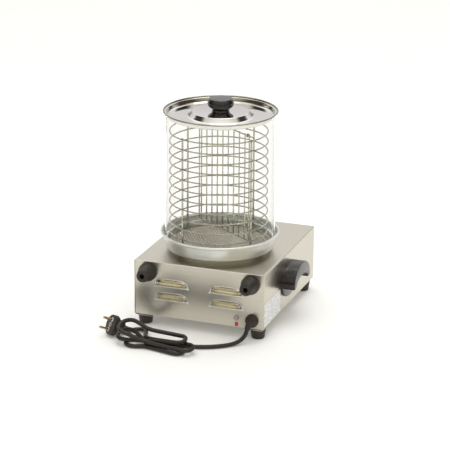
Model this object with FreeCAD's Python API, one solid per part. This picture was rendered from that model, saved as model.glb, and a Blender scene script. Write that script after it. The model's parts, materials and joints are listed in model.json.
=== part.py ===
"""Hot dog steamer: a stainless box with a heated water pan, a glass cylinder and a wire basket.

Row frame: millimetres, +Z up, the control panel faces -Y, the vents and the mains lead face +Y.
The sizes below are laid out from the middle of the box. The row's origin lies on the standing
surface under the middle of the whole outline, handle included, so every shape is moved by ORIGIN_SHIFT.
"""
import FreeCAD, Part
import math
import os

from FreeCAD import Vector

os.makedirs("parts", exist_ok=True)

# ---- driving dimensions -------------------------------------------------------------------
BOX_W = 246.0            # housing, X
BOX_D = 291.0            # housing, Y
BOX_TOP = 123.2          # housing's upper face above the floor
FOOT_H = 18.0            # free height under the housing
SHEET = 1.2              # stainless sheet of the housing
TOP_BEND = 3.0           # outer bend radius of the upper long edges
BOTTOM_BEND = 6.0        # outer bend radius of the lower long edges
GLASS_R = 100.0          # outside of the glass cylinder
GLASS_WALL = 3.0
GLASS_BOTTOM = 148.0
GLASS_TOP = 380.8
STEAM_Y = 35.4           # axis of pan, glass, basket and lid: X = 0, Y = STEAM_Y
REACH = 29.0             # how far the bumpers stand behind the box, and the knob in front of it

# ---- places that follow from them ---------------------------------------------------------
HALF_W = BOX_W / 2
HALF_D = BOX_D / 2
PANEL_INSET = 0.8        # end panels stand this far inside the housing's edges
PANEL_T = 1.0
REAR_FACE = HALF_D - PANEL_INSET
FRONT_FACE = -REAR_FACE
AXIS = Vector(0, STEAM_Y, 0)
UP = Vector(0, 0, 1)
BACK = Vector(0, 1, 0)
SIDE = Vector(1, 0, 0)

# pan and seat
PAN_Z = 130.0
PAN_RIM_Z = 160.6
PAN_RIM_R = 107.8
PAN_FOOT_R = 98.5
PAN_T = 1.6
DIFFUSER_R = 92.0
DIFFUSER_TOP = 140.4
DIFFUSER_T = 1.4

# basket
BASKET_R = 88.0          # wire centre
WIRE_R = 1.25
ROD_R = 1.75
RING_COUNT = 12
RING_PITCH = 18.46
RING_Z0 = DIFFUSER_TOP + WIRE_R + 0.25
WELD = 0.5               # how far a rod sinks into each ring
ROD_ANGLE = 61.5         # first of four rods, 90 degrees apart
BASKET_SHIFT = Vector(2.6, 0.9, 0)   # the basket stands a little off the glass's axis
BASKET_AXIS = AXIS + BASKET_SHIFT

# divider
GRID_ANGLE = 144.6       # its direction in plan
GRID_OFFSET = -11.0      # how far its plane passes from the basket's axis
GRID_WIRES = 9           # evenly spaced uprights
GRID_PITCH = 17.0
GRID_SHIFT = -6.0        # from the grid's middle to the middle one of these
GRID_END_WIRES = (-81.0, 75.0)    # the two outermost uprights
GRID_BAR_LOW = 158.0
GRID_BAR_HIGH = 351.0
HOOK_X = 91.0            # from the grid's middle to a hook's outer leg
HOOK_DROP = 12.0         # how far that leg hangs below the bar

# side handle
HANDLE_Y = 10.5
HANDLE_Z = 74.0
HANDLE_A = 46.0
HANDLE_B = 32.5
HANDLE_REACH = 27.5
HANDLE_PLATE = 5.0
GRIP_LOW = 68.0          # lower end of the grip's two legs
GRIP_GAP_Y = 10.0
GRIP_GAP_A = 34.0
GRIP_GAP_B = 14.7
ORIGIN_SHIFT = Vector(HANDLE_REACH / 2, 0, 0)

# rear furniture
BUMPER_X = 97.0
BUMPER_Z = 102.5
BUMPER_R = 16.8
BUMPER_TIP_R = 11.4
LOUVRE_X = 52.0
LOUVRE_LIPS = (53.0, 78.5)
LOUVRE_W = 66.0
LOUVRE_H = 13.0
LOUVRE_OUT = 5.5
GLAND = Vector(-100, REAR_FACE, 35)
GLAND_R = 12.0
NOSE_BEND = 12.0         # bend radius of the gland's nose
NOSE_TURN = 75.0
NOSE_RIBS = 5
NOSE_SWING = 12.0        # the nose also leans towards +X
CORD_R = 3.8
EARTH = Vector(-71, REAR_FACE, 37)

# feet
FOOT_X = 107.0           # the four feet stand at plus and minus these
FOOT_Y = 130.0
FOOT_R = 14.0
FOOT_TIP_R = 11.4

# mains lead: the hank's tie, and the plug lying on the floor
TIE_X = 60.0
TIE_NEAR = 229.0
TIE_FAR = 255.0
TIE_TOP = 23.0
PLUG_FACE = Vector(140.7, 216.1, 21.5)
PLUG_RISE = 24.0         # the plug's aim above the floor, degrees
PLUG_TURN = 44.0         # the same in plan, from +X towards +Y
PLUG_LEAN = -3.0         # the pins' line off the steepest line of the face
PLUG_R = 18.5
PLUG_LENGTH = 42.0
PIN_PITCH = 19.0
PIN_R = 2.4
PIN_LENGTH = 19.0
INSERT_R = 3.9

# control panel
DIAL = Vector(-52, FRONT_FACE, 70)
DIAL_R = 30.0
KNOB_R = 21.0
KNOB_GAP = 4.2           # from the panel to the knob's skirt
POINTER_H = 0.6
SHAFT_R = 3.0
SWITCH = Vector(34, FRONT_FACE, 70)
LAMP = Vector(80, FRONT_FACE, 70)
ROCKER_TILT = 10.0


def plug_directions():
    """The way the pins point, and the line across both pins, square to it."""
    rise, turn = math.radians(PLUG_RISE), math.radians(PLUG_TURN)
    aim = Vector(math.cos(rise) * math.cos(turn), math.cos(rise) * math.sin(turn), math.sin(rise))
    level = Vector(-math.sin(turn), math.cos(turn), 0)
    steep = aim.cross(level) * -1
    lean = math.radians(PLUG_LEAN)
    return aim, steep * math.cos(lean) + level * math.sin(lean)


PLUG_AIM, PLUG_UP = plug_directions()


# ---- small helpers ------------------------------------------------------------------------
def export(node, shape):
    """One STEP file for one node, in the row's frame."""
    shape.translate(ORIGIN_SHIFT)
    shape.exportStep("parts/" + node + ".step")


def rod(start, end, radius):
    """A round bar from one point to another."""
    line = end - start
    return Part.makeCylinder(radius, line.Length, start, line)


def disc(radius, z_low, z_high, centre=AXIS):
    """An upright disc between two heights."""
    return Part.makeCylinder(radius, z_high - z_low, Vector(centre.x, centre.y, z_low), UP)


def block(x_low, x_high, y_low, y_high, z_low, z_high):
    """A box between its low and high sides."""
    size = Vector(x_high - x_low, y_high - y_low, z_high - z_low)
    return Part.makeBox(size.x, size.y, size.z, Vector(x_low, y_low, z_low))


def outline(start, *steps):
    """A closed wire. A step is a point for a straight edge, or (middle, end) for an arc."""
    here = start
    edges = []
    for step in steps:
        if isinstance(step, tuple):
            edges.append(Part.Arc(here, step[0], step[1]).toShape())
            here = step[1]
        else:
            edges.append(Part.LineSegment(here, step).toShape())
            here = step
    if (here - start).Length > 1e-6:
        edges.append(Part.LineSegment(here, start).toShape())
    return Part.Wire(edges)


def turned(points, centre=AXIS):
    """A solid turned about the vertical line through centre; each point is (radius, height).
    A point may be ((r, z) middle, (r, z) end) for an arc."""
    def place(p):
        return Vector(centre.x + p[0], centre.y, centre.z + p[1])
    steps = []
    for p in points[1:]:
        steps.append((place(p[0]), place(p[1])) if isinstance(p[0], tuple) else place(p))
    return Part.Face(outline(place(points[0]), *steps)).revolve(centre, UP, 360)


def crown(radius, low, high):
    """The arc of a dome from its edge up to the axis, as the (middle, end) that turned() takes."""
    rise = high - low
    sphere = (radius ** 2 + rise ** 2) / (2 * rise)
    half = math.asin(radius / sphere) / 2
    return ((sphere * math.sin(half), high - sphere * (1 - math.cos(half))), (0, high))


def turned_out(points, centre, direction):
    """A solid turned about the line through centre along direction; points are (radius, reach)."""
    solid = turned(points, Vector(0, 0, 0))
    solid.Placement = FreeCAD.Placement(centre, FreeCAD.Rotation(UP, direction))
    return solid


def rounded_box(x, y, z, size, radius, along):
    """A box centred at x, y, z whose four edges along one axis are rounded."""
    solid = Part.makeBox(size.x, size.y, size.z, Vector(x, y, z) - size * 0.5)
    edges = []
    for edge in solid.Edges:
        run = edge.Vertexes[1].Point - edge.Vertexes[0].Point
        if abs(run.normalize().dot(along)) > 0.99:
            edges.append(edge)
    return solid.makeFillet(radius, edges)


def run_of_wire(points, radius):
    """A bent wire: straight bars with a ball at each corner."""
    solid = rod(points[0], points[1], radius)
    for here, there in zip(points[1:-1], points[2:]):
        solid = solid.fuse([Part.makeSphere(radius, here), rod(here, there, radius)])
    return solid.removeSplitter()


def join(first, others):
    """One solid from several that overlap."""
    return first.fuse(others).removeSplitter()


def ellipse_prism(y, z, a, b, x_low, x_high):
    """An elliptical bar along X; a is along Y and b along Z, and a is the longer."""
    curve = Part.Ellipse(Vector(x_low, y, z), a, b)
    curve.Axis = SIDE
    curve.XAxis = BACK
    face = Part.Face(Part.Wire([curve.toShape()]))
    return face.extrude(Vector(x_high - x_low, 0, 0))


# ---- housing ------------------------------------------------------------------------------
def shell_section(inset):
    """The housing's closed section in XZ, inset from its outer faces, with bent edges."""
    w = HALF_W - inset
    top, low = BOX_TOP - inset, FOOT_H + inset
    rt, rb = TOP_BEND - inset, BOTTOM_BEND - inset
    ct, cb = rt * (1 - math.sqrt(0.5)), rb * (1 - math.sqrt(0.5))
    y = -HALF_D

    def at(x, z):
        return Vector(x, y, z)
    wire = outline(
        at(-w + rt, top), at(w - rt, top), (at(w - ct, top - ct), at(w, top - rt)),
        at(w, low + rb), (at(w - cb, low + cb), at(w - rb, low)),
        at(-w + rb, low), (at(-w + cb, low + cb), at(-w, low + rb)),
        at(-w, top - rt), (at(-w + ct, top - ct), at(-w + rt, top)))
    return Part.Face(wire).extrude(Vector(0, BOX_D, 0))


FLANGE_X = 88.0          # the lower return flanges run from here outwards
HEATER_HOLE_R = 72.0
HANDLE_BOLT_Y = 24.0     # half the spacing of each handle's two screws


def housing_shell():
    """One sheet folded over the top and both sides, with flanges turned in under the base."""
    solid = shell_section(0).cut(shell_section(SHEET))
    mouth = block(-FLANGE_X, FLANGE_X, -HALF_D - 1, HALF_D + 1, FOOT_H - 1, FOOT_H + SHEET + 1)
    solid = solid.cut([mouth, disc(HEATER_HOLE_R, BOX_TOP - 5, BOX_TOP + 5)])
    for side in (-1, 1):
        for y in (HANDLE_Y - HANDLE_BOLT_Y, HANDLE_Y + HANDLE_BOLT_Y):
            start = Vector(side * (HALF_W - 5), y, HANDLE_Z)
            solid = solid.cut(rod(start, start + Vector(side * 10, 0, 0), 2.3))
    for x in (-FOOT_X, FOOT_X):
        for y in (-FOOT_Y, FOOT_Y):
            solid = solid.cut(disc(2.7, FOOT_H - 1, FOOT_H + SHEET + 1, Vector(x, y, 0)))
    return solid


def base_plate():
    """The floor of the box, lying on the flanges, with rows of vent slots."""
    low = FOOT_H + SHEET
    solid = block(-115, 115, -140, 140, low, low + PANEL_T)
    slots = []
    for row in range(-3, 4):
        for x in (-42, 42):
            centre = row * 16.0
            slots.append(rounded_box(x, centre, low, Vector(52, 5, 8), 2.4, UP))
    for x in (-FOOT_X, FOOT_X):
        for y in (-FOOT_Y, FOOT_Y):
            slots.append(disc(2.7, low - 1, low + 3, Vector(x, y, 0)))
    return solid.cut(slots)


def end_panel(face_y, outward):
    """A flat end panel with flanges along its upper and lower edges, before its holes."""
    gap = SHEET + 0.1
    w, low, top = HALF_W - gap, FOOT_H + gap + PANEL_T, BOX_TOP - gap
    inner = face_y - outward * PANEL_T
    y0, y1 = sorted((face_y, inner))
    plate = shell_section(gap).common(block(-w, w, y0, y1, low, top))
    flange_end = inner - outward * 9.0
    z0, z1 = sorted((inner, flange_end))
    upper = block(-w + 6, w - 6, z0, z1, top - PANEL_T, top)
    lower = block(-w + 12, w - 12, z0, z1, low, low + PANEL_T)
    return join(plate, [upper, lower])


def louvre(x, lip, inset):
    """A hood pressed out of the rear panel: square-shouldered, with its slot facing down."""
    w, h, out = LOUVRE_W / 2 - inset, LOUVRE_H - inset, LOUVRE_OUT - inset
    corner = 9.0 - inset
    bevel = corner * (1 - math.sqrt(0.5))
    y0 = REAR_FACE - PANEL_T - 1

    def front(px, pz):
        return Vector(x + px, y0, lip + pz)
    face = outline(
        front(-w, 0), front(w, 0), front(w, h - corner),
        (front(w - bevel, h - bevel), front(w - corner, h)), front(corner - w, h),
        (front(bevel - w, h - bevel), front(-w, h - corner)))
    block_out = Part.Face(face).extrude(Vector(0, out + PANEL_T + 1, 0))

    def side(py, pz):
        return Vector(x - w - 1, py, lip + pz)
    profile = outline(
        side(y0, -1), side(REAR_FACE + out, -1), side(REAR_FACE + out, h * 0.28),
        (side(REAR_FACE + out * 0.72, h * 0.72), side(REAR_FACE, h)), side(y0, h))
    block_side = Part.Face(profile).extrude(Vector(2 * w + 2, 0, 0))

    def plan(px, py):
        return Vector(x + px, py, lip - 1)
    ramp = 13.0
    swept = outline(
        plan(-w, y0), plan(w, y0), plan(w, REAR_FACE),
        (plan(w - ramp * 0.4, REAR_FACE + out * 0.74), plan(w - ramp, REAR_FACE + out)),
        plan(ramp - w, REAR_FACE + out),
        (plan(ramp * 0.4 - w, REAR_FACE + out * 0.74), plan(-w, REAR_FACE)))
    block_plan = Part.Face(swept).extrude(Vector(0, 0, h + 2))
    return block_out.common(block_side).common(block_plan)


def rear_panel():
    """The end with four vent hoods, two bumpers, the mains lead and the earth screw."""
    solid = end_panel(REAR_FACE, 1)
    places = [(x, lip) for x in (-LOUVRE_X, LOUVRE_X) for lip in LOUVRE_LIPS]
    solid = join(solid, [louvre(x, lip, 0) for x, lip in places])
    holes = [louvre(x, lip, PANEL_T) for x, lip in places]
    through = Vector(0, 14, 0)
    for x in (-BUMPER_X, BUMPER_X):
        start = Vector(x, REAR_FACE - 7, BUMPER_Z)
        holes.append(rod(start, start + through, 2.3))
    holes.append(rod(GLAND - through * 0.5, GLAND + through * 0.5, 7.0))
    holes.append(rod(EARTH - through * 0.5, EARTH + through * 0.5, 2.6))
    return solid.cut(holes)


def front_panel():
    """The end with the thermostat, the rocker switch and the pilot lamp."""
    solid = end_panel(FRONT_FACE, -1)
    through = Vector(0, 14, 0)
    bush = rod(DIAL - through * 0.5, DIAL + through * 0.5, 5.2)
    lamp = rod(LAMP - through * 0.5, LAMP + through * 0.5, 5.2)
    window = block(SWITCH.x - 10.6, SWITCH.x + 10.6, SWITCH.y - 7, SWITCH.y + 7,
                   SWITCH.z - 14.2, SWITCH.z + 14.2)
    return solid.cut([bush, lamp, window])


def foot(x, y):
    """A tapered rubber foot with a counterbore for its screw."""
    body = turned([(0, 0), (FOOT_TIP_R - 1.2, 0), ((FOOT_TIP_R - 0.35, 0.35), (FOOT_TIP_R, 1.2)),
                   (FOOT_R, FOOT_H), (0, FOOT_H)], Vector(x, y, 0))
    place = Vector(x, y, 0)
    return body.cut([disc(5.2, -1, 8, place), disc(2.7, 7, FOOT_H + 1, place)])


def foot_screws():
    """Four pan-head screws, each with a nut above the base plate."""
    solids = []
    top = FOOT_H + SHEET + PANEL_T
    for x in (-FOOT_X, FOOT_X):
        for y in (-FOOT_Y, FOOT_Y):
            place = Vector(x, y, 0)
            shank = disc(2.5, 7, top + 6, place)
            nut = disc(4.4, top, top + 4, place)
            solids.append(join(disc(4.6, 5, 8, place), [shank, nut]))
    return Part.makeCompound(solids)


# ---- rear furniture -----------------------------------------------------------------------
def bumper(x):
    """A rubber buffer that keeps the hot box off the wall."""
    centre = Vector(x, REAR_FACE, BUMPER_Z)
    reach = REACH + PANEL_INSET
    body = turned_out(
        [(0, 0), (BUMPER_R, 0), (BUMPER_R, 5.0), ((BUMPER_R - 0.4, 6.3), (BUMPER_R - 1.5, 7.0)),
         (BUMPER_TIP_R + 0.6, reach - 3.0), ((BUMPER_TIP_R - 0.3, reach - 0.9),
                                             (BUMPER_TIP_R - 2.4, reach)), (0, reach)],
        centre, BACK)
    wide = rod(centre + BACK * 12, centre + BACK * (reach + 1), 4.6)
    narrow = rod(centre - BACK, centre + BACK * 13, 2.3)
    return body.cut([wide, narrow])


def bumper_screws():
    """One screw down the middle of each bumper, with a nut inside the box."""
    solids = []
    for x in (-BUMPER_X, BUMPER_X):
        centre = Vector(x, REAR_FACE, BUMPER_Z)
        shank = rod(centre - BACK * 7, centre + BACK * 13, 2.1)
        head = rod(centre + BACK * 12, centre + BACK * 15, 4.2)
        nut = rod(centre - BACK * (PANEL_T + 3.2), centre - BACK * PANEL_T, 3.8)
        solids.append(join(shank, [head, nut]))
    return Part.makeCompound(solids)


def earth_screw():
    """The bonding stud: washer, nut and a domed end."""
    washer = rod(EARTH, EARTH + BACK * 0.8, 5.0).cut(rod(EARTH - BACK, EARTH + BACK * 2, 2.4))
    head = turned_out([(0, 0.8), (3.9, 0.8), (3.9, 2.4), crown(3.9, 2.4, 4.4)], EARTH, BACK)
    shank = rod(EARTH - BACK * 9, EARTH + BACK * 1.5, 2.2)
    return join(washer, [head, shank])


def earth_mark():
    """A small plain red tab under the bonding stud."""
    return block(EARTH.x - 3.5, EARTH.x + 2.5, REAR_FACE, REAR_FACE + 0.3, EARTH.z - 15, EARTH.z - 8)


def rating_label():
    """A blank plate on the side, where a maker would print its ratings."""
    side = -HALF_W
    plate = block(side - 0.3, side, 54, REAR_FACE - 1, 25.5, 66.5)
    return plate.cut(handle())


# ---- side handle --------------------------------------------------------------------------
def handle():
    """An oval moulding on the -X wall: a thin plate below, a half-moon grip standing out above."""
    face_x = -HALF_W - HANDLE_REACH
    plate = ellipse_prism(HANDLE_Y, HANDLE_Z, HANDLE_A, HANDLE_B, -HALF_W - HANDLE_PLATE, -HALF_W)
    grip = ellipse_prism(HANDLE_Y, HANDLE_Z, HANDLE_A, HANDLE_B, face_x, -HALF_W)
    grip = grip.cut([
        ellipse_prism(GRIP_GAP_Y, GRIP_LOW, GRIP_GAP_A, GRIP_GAP_B, face_x - 1, 1 - HALF_W),
        block(face_x - 1, 1 - HALF_W, HANDLE_Y - 60, HANDLE_Y + 60, GRIP_LOW - 60, GRIP_LOW)])
    edges = [e for e in grip.Edges
             if all(abs(v.Point.x - face_x) < 0.01 for v in e.Vertexes)]
    grip = grip.makeFillet(2.6, edges)
    solid = join(plate, [grip])
    bores = []
    for y in (HANDLE_Y - HANDLE_BOLT_Y, HANDLE_Y + HANDLE_BOLT_Y):
        start = Vector(1 - HALF_W, y, HANDLE_Z)
        bores.append(rod(start, start - SIDE * (HANDLE_PLATE - 0.5), 2.0))
    return solid.cut(bores)


def handle_screws():
    """Two screws for the handle, driven from inside the box."""
    solids = []
    for y in (HANDLE_Y - HANDLE_BOLT_Y, HANDLE_Y + HANDLE_BOLT_Y):
        seat = Vector(SHEET - HALF_W, y, HANDLE_Z)
        shank = rod(seat + SIDE * 2, seat - SIDE * (SHEET + HANDLE_PLATE - 1.7), 1.95)
        solids.append(join(rod(seat + SIDE * 2.6, seat, 3.8), [shank]))
    return Part.makeCompound(solids)


# ---- water pan and heater -----------------------------------------------------------------
PLATE_R = 66.0
PLATE_LOW = 116.0
ELEMENT_R = 48.0
ELEMENT_WIRE = 4.0


def pan_neck():
    """The dark collar that the pan stands on, over the hole in the housing."""
    return disc(90, BOX_TOP, PAN_Z).cut(disc(75, BOX_TOP - 1, PAN_Z + 1))


def water_pan():
    """A spun aluminium pan: flat floor, flared wall and a rolled rim."""
    t = PAN_T
    bead_r = 1.9
    bead = (PAN_RIM_R - bead_r, PAN_RIM_Z - bead_r)
    wall_top = (103.8, 153.5)
    skin = turned([
        (0, PAN_Z), (PAN_FOOT_R - 6, PAN_Z), ((PAN_FOOT_R - 1.6, 131.9), (PAN_FOOT_R + 0.4, 136.0)),
        wall_top, (bead[0] + 0.2, 157.0), (bead[0] - 0.6, PAN_RIM_Z - 0.5), (103.6, 157.6),
        (102.1, 153.8), (PAN_FOOT_R - 1.2, 136.4), ((PAN_FOOT_R - 2.9, 133.1),
                                                    (PAN_FOOT_R - 6, PAN_Z + t)), (0, PAN_Z + t)])
    roll = Part.makeTorus(bead[0], bead_r, Vector(0, STEAM_Y, bead[1]), UP)
    return join(skin, [roll])


def glass_seat():
    """A spun ring in the pan: the glass stands on its outer flange, the diffuser on its ledge."""
    low, ledge, top, t = PAN_Z + PAN_T, DIFFUSER_TOP - DIFFUSER_T, GLASS_BOTTOM, 1.5
    return turned([(80, low), (86, low), (86, ledge - t), (95.2, ledge - t), (95.2, top - t),
                   (99.6, top - t), (99.6, top), (95.2 - t, top), (95.2 - t, ledge), (84.5, ledge),
                   (84.5, low + t), (80, low + t)])


def heater_plate():
    """A cast disc pressed against the pan's floor, with three bosses for its studs."""
    solid = disc(PLATE_R, PLATE_LOW, PAN_Z)
    pocket = Part.makeTorus(ELEMENT_R, ELEMENT_WIRE + 0.1, Vector(0, STEAM_Y, PLATE_LOW + 1.0), UP)
    return solid.cut(pocket)


def heating_element():
    """A round tubular element let into the underside of the plate, its two ends turned down."""
    centre = Vector(0, STEAM_Y, PLATE_LOW + 1.0)
    ring = Part.makeTorus(ELEMENT_R, ELEMENT_WIRE, centre, UP, -180, 180, 320)
    ends = []
    for angle in (0, 320):
        a = math.radians(angle)
        spot = centre + Vector(ELEMENT_R * math.cos(a), ELEMENT_R * math.sin(a), 0)
        ends.append(Part.makeSphere(ELEMENT_WIRE, spot))
        ends.append(rod(spot, spot - UP * 24, ELEMENT_WIRE))
    return join(ring, ends)


STUD_R = 26.0
SHIELD_Z = 88.0


def stud_places():
    """Three studs around the heater's middle."""
    turns = [math.radians(a) for a in (90, 210, 330)]
    return [Vector(STUD_R * math.cos(a), STEAM_Y + STUD_R * math.sin(a), 0) for a in turns]


def heater_studs():
    """Three studs from the plate down to the shield, each with a nut."""
    solids = []
    for place in stud_places():
        stud = disc(2.4, SHIELD_Z - 6, PLATE_LOW, place)
        solids.append(join(stud, [disc(4.0, SHIELD_Z - 3.2, SHIELD_Z, place)]))
    return Part.makeCompound(solids)


def insulation_pad():
    """A mineral wool disc between the heater and the shield."""
    pad = disc(64, SHIELD_Z + 0.8, SHIELD_Z + 12)
    holes = [disc(2.6, SHIELD_Z, SHIELD_Z + 13, place) for place in stud_places()]
    for angle in (0, 320):
        a = math.radians(angle)
        spot = AXIS + Vector(ELEMENT_R * math.cos(a), ELEMENT_R * math.sin(a), 0)
        holes.append(disc(ELEMENT_WIRE + 1.2, SHIELD_Z, SHIELD_Z + 13, spot))
    return pad.cut(holes)


def heat_shield():
    """A thin dish under the insulation."""
    dish = disc(66, SHIELD_Z, SHIELD_Z + 10).cut(disc(65.2, SHIELD_Z + 0.8, SHIELD_Z + 11))
    holes = [disc(2.6, SHIELD_Z - 1, SHIELD_Z + 2, place) for place in stud_places()]
    for angle in (0, 320):
        a = math.radians(angle)
        spot = AXIS + Vector(ELEMENT_R * math.cos(a), ELEMENT_R * math.sin(a), 0)
        holes.append(disc(ELEMENT_WIRE + 1.2, SHIELD_Z - 1, SHIELD_Z + 2, spot))
    return dish.cut(holes)


# ---- what stands in the pan ---------------------------------------------------------------
def diffuser_plate():
    """The perforated plate that lets steam up among the sausages."""
    plate = disc(DIFFUSER_R, DIFFUSER_TOP - DIFFUSER_T, DIFFUSER_TOP)
    holes = []
    for ring in range(1, 8):
        count = 6 * ring
        for i in range(count):
            a = 2 * math.pi * i / count
            spot = AXIS + Vector(11.5 * ring * math.cos(a), 11.5 * ring * math.sin(a), 0)
            holes.append(disc(1.8, DIFFUSER_TOP - 3, DIFFUSER_TOP + 1, spot))
    return plate.cut(Part.makeCompound(holes))


def glass_cylinder():
    """A plain glass tube."""
    return disc(GLASS_R, GLASS_BOTTOM, GLASS_TOP).cut(
        disc(GLASS_R - GLASS_WALL, GLASS_BOTTOM - 1, GLASS_TOP + 1))


def ring_height(i):
    """The height of one basket ring, counted from the lowest."""
    return RING_Z0 + RING_PITCH * i


def basket_rings():
    """Twelve wire rings, welded to the outside of the four rods."""
    rings = []
    for i in range(RING_COUNT):
        spot = BASKET_AXIS + UP * ring_height(i)
        rings.append(Part.makeTorus(BASKET_R, WIRE_R, spot, UP))
    return Part.makeCompound(rings)


def basket_rods():
    """Four upright rods inside the rings."""
    rods = []
    inner = BASKET_R - WIRE_R - ROD_R + WELD
    for i in range(4):
        a = math.radians(ROD_ANGLE + 90 * i)
        spot = BASKET_AXIS + Vector(inner * math.cos(a), inner * math.sin(a), 0)
        rods.append(disc(ROD_R, ring_height(0) - 0.6, ring_height(RING_COUNT - 1) + 1.6, spot))
    return Part.makeCompound(rods)


def basket_divider():
    """A flat grid that stands across the basket and hooks over its top ring at both ends."""
    turn = math.radians(GRID_ANGLE)
    along = Vector(math.cos(turn), math.sin(turn), 0)
    across = Vector(-along.y, along.x, 0)
    middle = BASKET_AXIS - across * GRID_OFFSET
    inside = BASKET_R - WIRE_R - ROD_R - 1.8
    half = math.sqrt(inside ** 2 - GRID_OFFSET ** 2)
    low_bar = rod(middle - along * half + UP * GRID_BAR_LOW, middle + along * half + UP * GRID_BAR_LOW,
                  WIRE_R)
    leg = along * HOOK_X
    high, hook = UP * GRID_BAR_HIGH, UP * (GRID_BAR_HIGH - HOOK_DROP)
    top_bar = run_of_wire([middle - leg + hook, middle - leg + high - UP * 1.2,
                           middle - leg + along * 1.2 + high, middle + leg - along * 1.2 + high,
                           middle + leg + high - UP * 1.2, middle + leg + hook], WIRE_R)
    places = [GRID_SHIFT + GRID_PITCH * (i - (GRID_WIRES - 1) / 2) for i in range(GRID_WIRES)]
    low, high = UP * (GRID_BAR_LOW - 1.6), UP * (GRID_BAR_HIGH + 1.6)
    uprights = []
    for place in places + list(GRID_END_WIRES):
        spot = middle + along * place
        uprights.append(rod(spot + low, spot + high, WIRE_R))
    return join(low_bar, [top_bar] + uprights)


# ---- lid ----------------------------------------------------------------------------------
LID_T = 0.8
LID_FLANGE = GLASS_TOP
LID_DISC_Z = 372.6       # upper face of the sunk disc
BOSS_Z = 381.3           # upper face of the middle boss
BOSS_R = 52.0
LID_RIM_R = 102.8
KNOB_TOP = 405.5


def lid():
    """A pressed lid: rolled rim on the glass, sunk disc inside it, raised boss in the middle."""
    t = LID_T
    skin = turned([
        (3.2, BOSS_Z), (BOSS_R - 2, BOSS_Z), ((BOSS_R - 0.5, BOSS_Z - 0.6),
                                              (BOSS_R + 0.7, BOSS_Z - 1.7)),
        (57.2, LID_DISC_Z + 1.1), ((58.1, LID_DISC_Z + 0.3), (59.6, LID_DISC_Z)),
        (92.4, LID_DISC_Z), ((94.0, LID_DISC_Z + 0.5), (94.7, LID_DISC_Z + 1.8)),
        (96.0, LID_FLANGE + t), (101.0, LID_FLANGE + t), (101.0, LID_FLANGE),
        (96.6, LID_FLANGE), (95.6, LID_DISC_Z + 1.2), ((94.8, LID_DISC_Z - 0.4),
                                                       (92.6, LID_DISC_Z - t)),
        (59.4, LID_DISC_Z - t), ((57.4, LID_DISC_Z - 0.4), (56.4, LID_DISC_Z + 0.8)),
        (BOSS_R, BOSS_Z - 2.2), ((BOSS_R - 0.9, BOSS_Z - 1.2), (BOSS_R - 2.2, BOSS_Z - t)),
        (3.2, BOSS_Z - t)])
    roll = Part.makeTorus(LID_RIM_R - 1.4, 1.4, Vector(0, STEAM_Y, LID_FLANGE + 1.4), UP)
    return join(skin, [roll])


def lid_knob():
    """A moulded mushroom knob with a blind hole for its screw."""
    z = BOSS_Z
    body = turned([(0, z), (15.6, z), ((16.0, z + 2.5), (17.6, z + 5.0)),
                   ((21.0, z + 8.2), (23.4, z + 12.0)), ((24.0, z + 16.5), (22.0, z + 21.2)),
                   ((21.0, z + 22.8), (19.0, z + 23.4)), crown(19.0, z + 23.4, KNOB_TOP)])
    return body.cut(disc(2.6, z - 1, z + 12))


def lid_knob_screw():
    """The knob's screw and washer under the lid."""
    low = BOSS_Z - LID_T
    return join(disc(9, low - 1.2, low), [disc(4.5, low - 3.8, low), disc(2.5, low - 1, BOSS_Z + 11)])


# ---- controls -----------------------------------------------------------------------------
def dial_plate():
    """A thin round plate behind the knob with raised graduation marks."""
    plate = rod(DIAL, DIAL - BACK * 0.8, DIAL_R)
    marks = []
    for i in range(10):
        a = math.radians(225 - 30 * i)
        spot = DIAL + Vector(26 * math.cos(a), 0, 26 * math.sin(a))
        marks.append(rod(spot, spot - BACK * 1.1, 1.1))
    return join(plate, marks).cut(rod(DIAL + BACK, DIAL - BACK * 3, 5.4))


def thermostat_body():
    """The thermostat's case with a threaded bush through the panel."""
    back = DIAL + BACK * PANEL_T
    case = block(DIAL.x - 18, DIAL.x + 18, back.y + 1.5, back.y + 25, DIAL.z - 16, DIAL.z + 16)
    bush = rod(back + BACK * 3, DIAL - BACK * 5.2, 4.9)
    flange = rod(back, back + BACK * 1.6, 9)
    return join(case, [bush, flange]).cut(rod(DIAL - BACK * 8, back + BACK * 14, SHAFT_R + 0.06))


def thermostat_nut():
    """The nut that clamps the bush to the panel."""
    front = DIAL - BACK * 0.8
    circle = []
    for i in range(6):
        a = math.radians(60 * i)
        circle.append(front + Vector(8 * math.cos(a), 0, 8 * math.sin(a)))
    nut = Part.Face(Part.makePolygon(circle + [circle[0]])).extrude(Vector(0, -2.6, 0))
    return nut.cut(rod(front + BACK, front - BACK * 4, 4.95))


def thermostat_shaft():
    """The spindle that the knob turns."""
    return rod(DIAL + BACK * 13, DIAL - BACK * 20, SHAFT_R)


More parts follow.
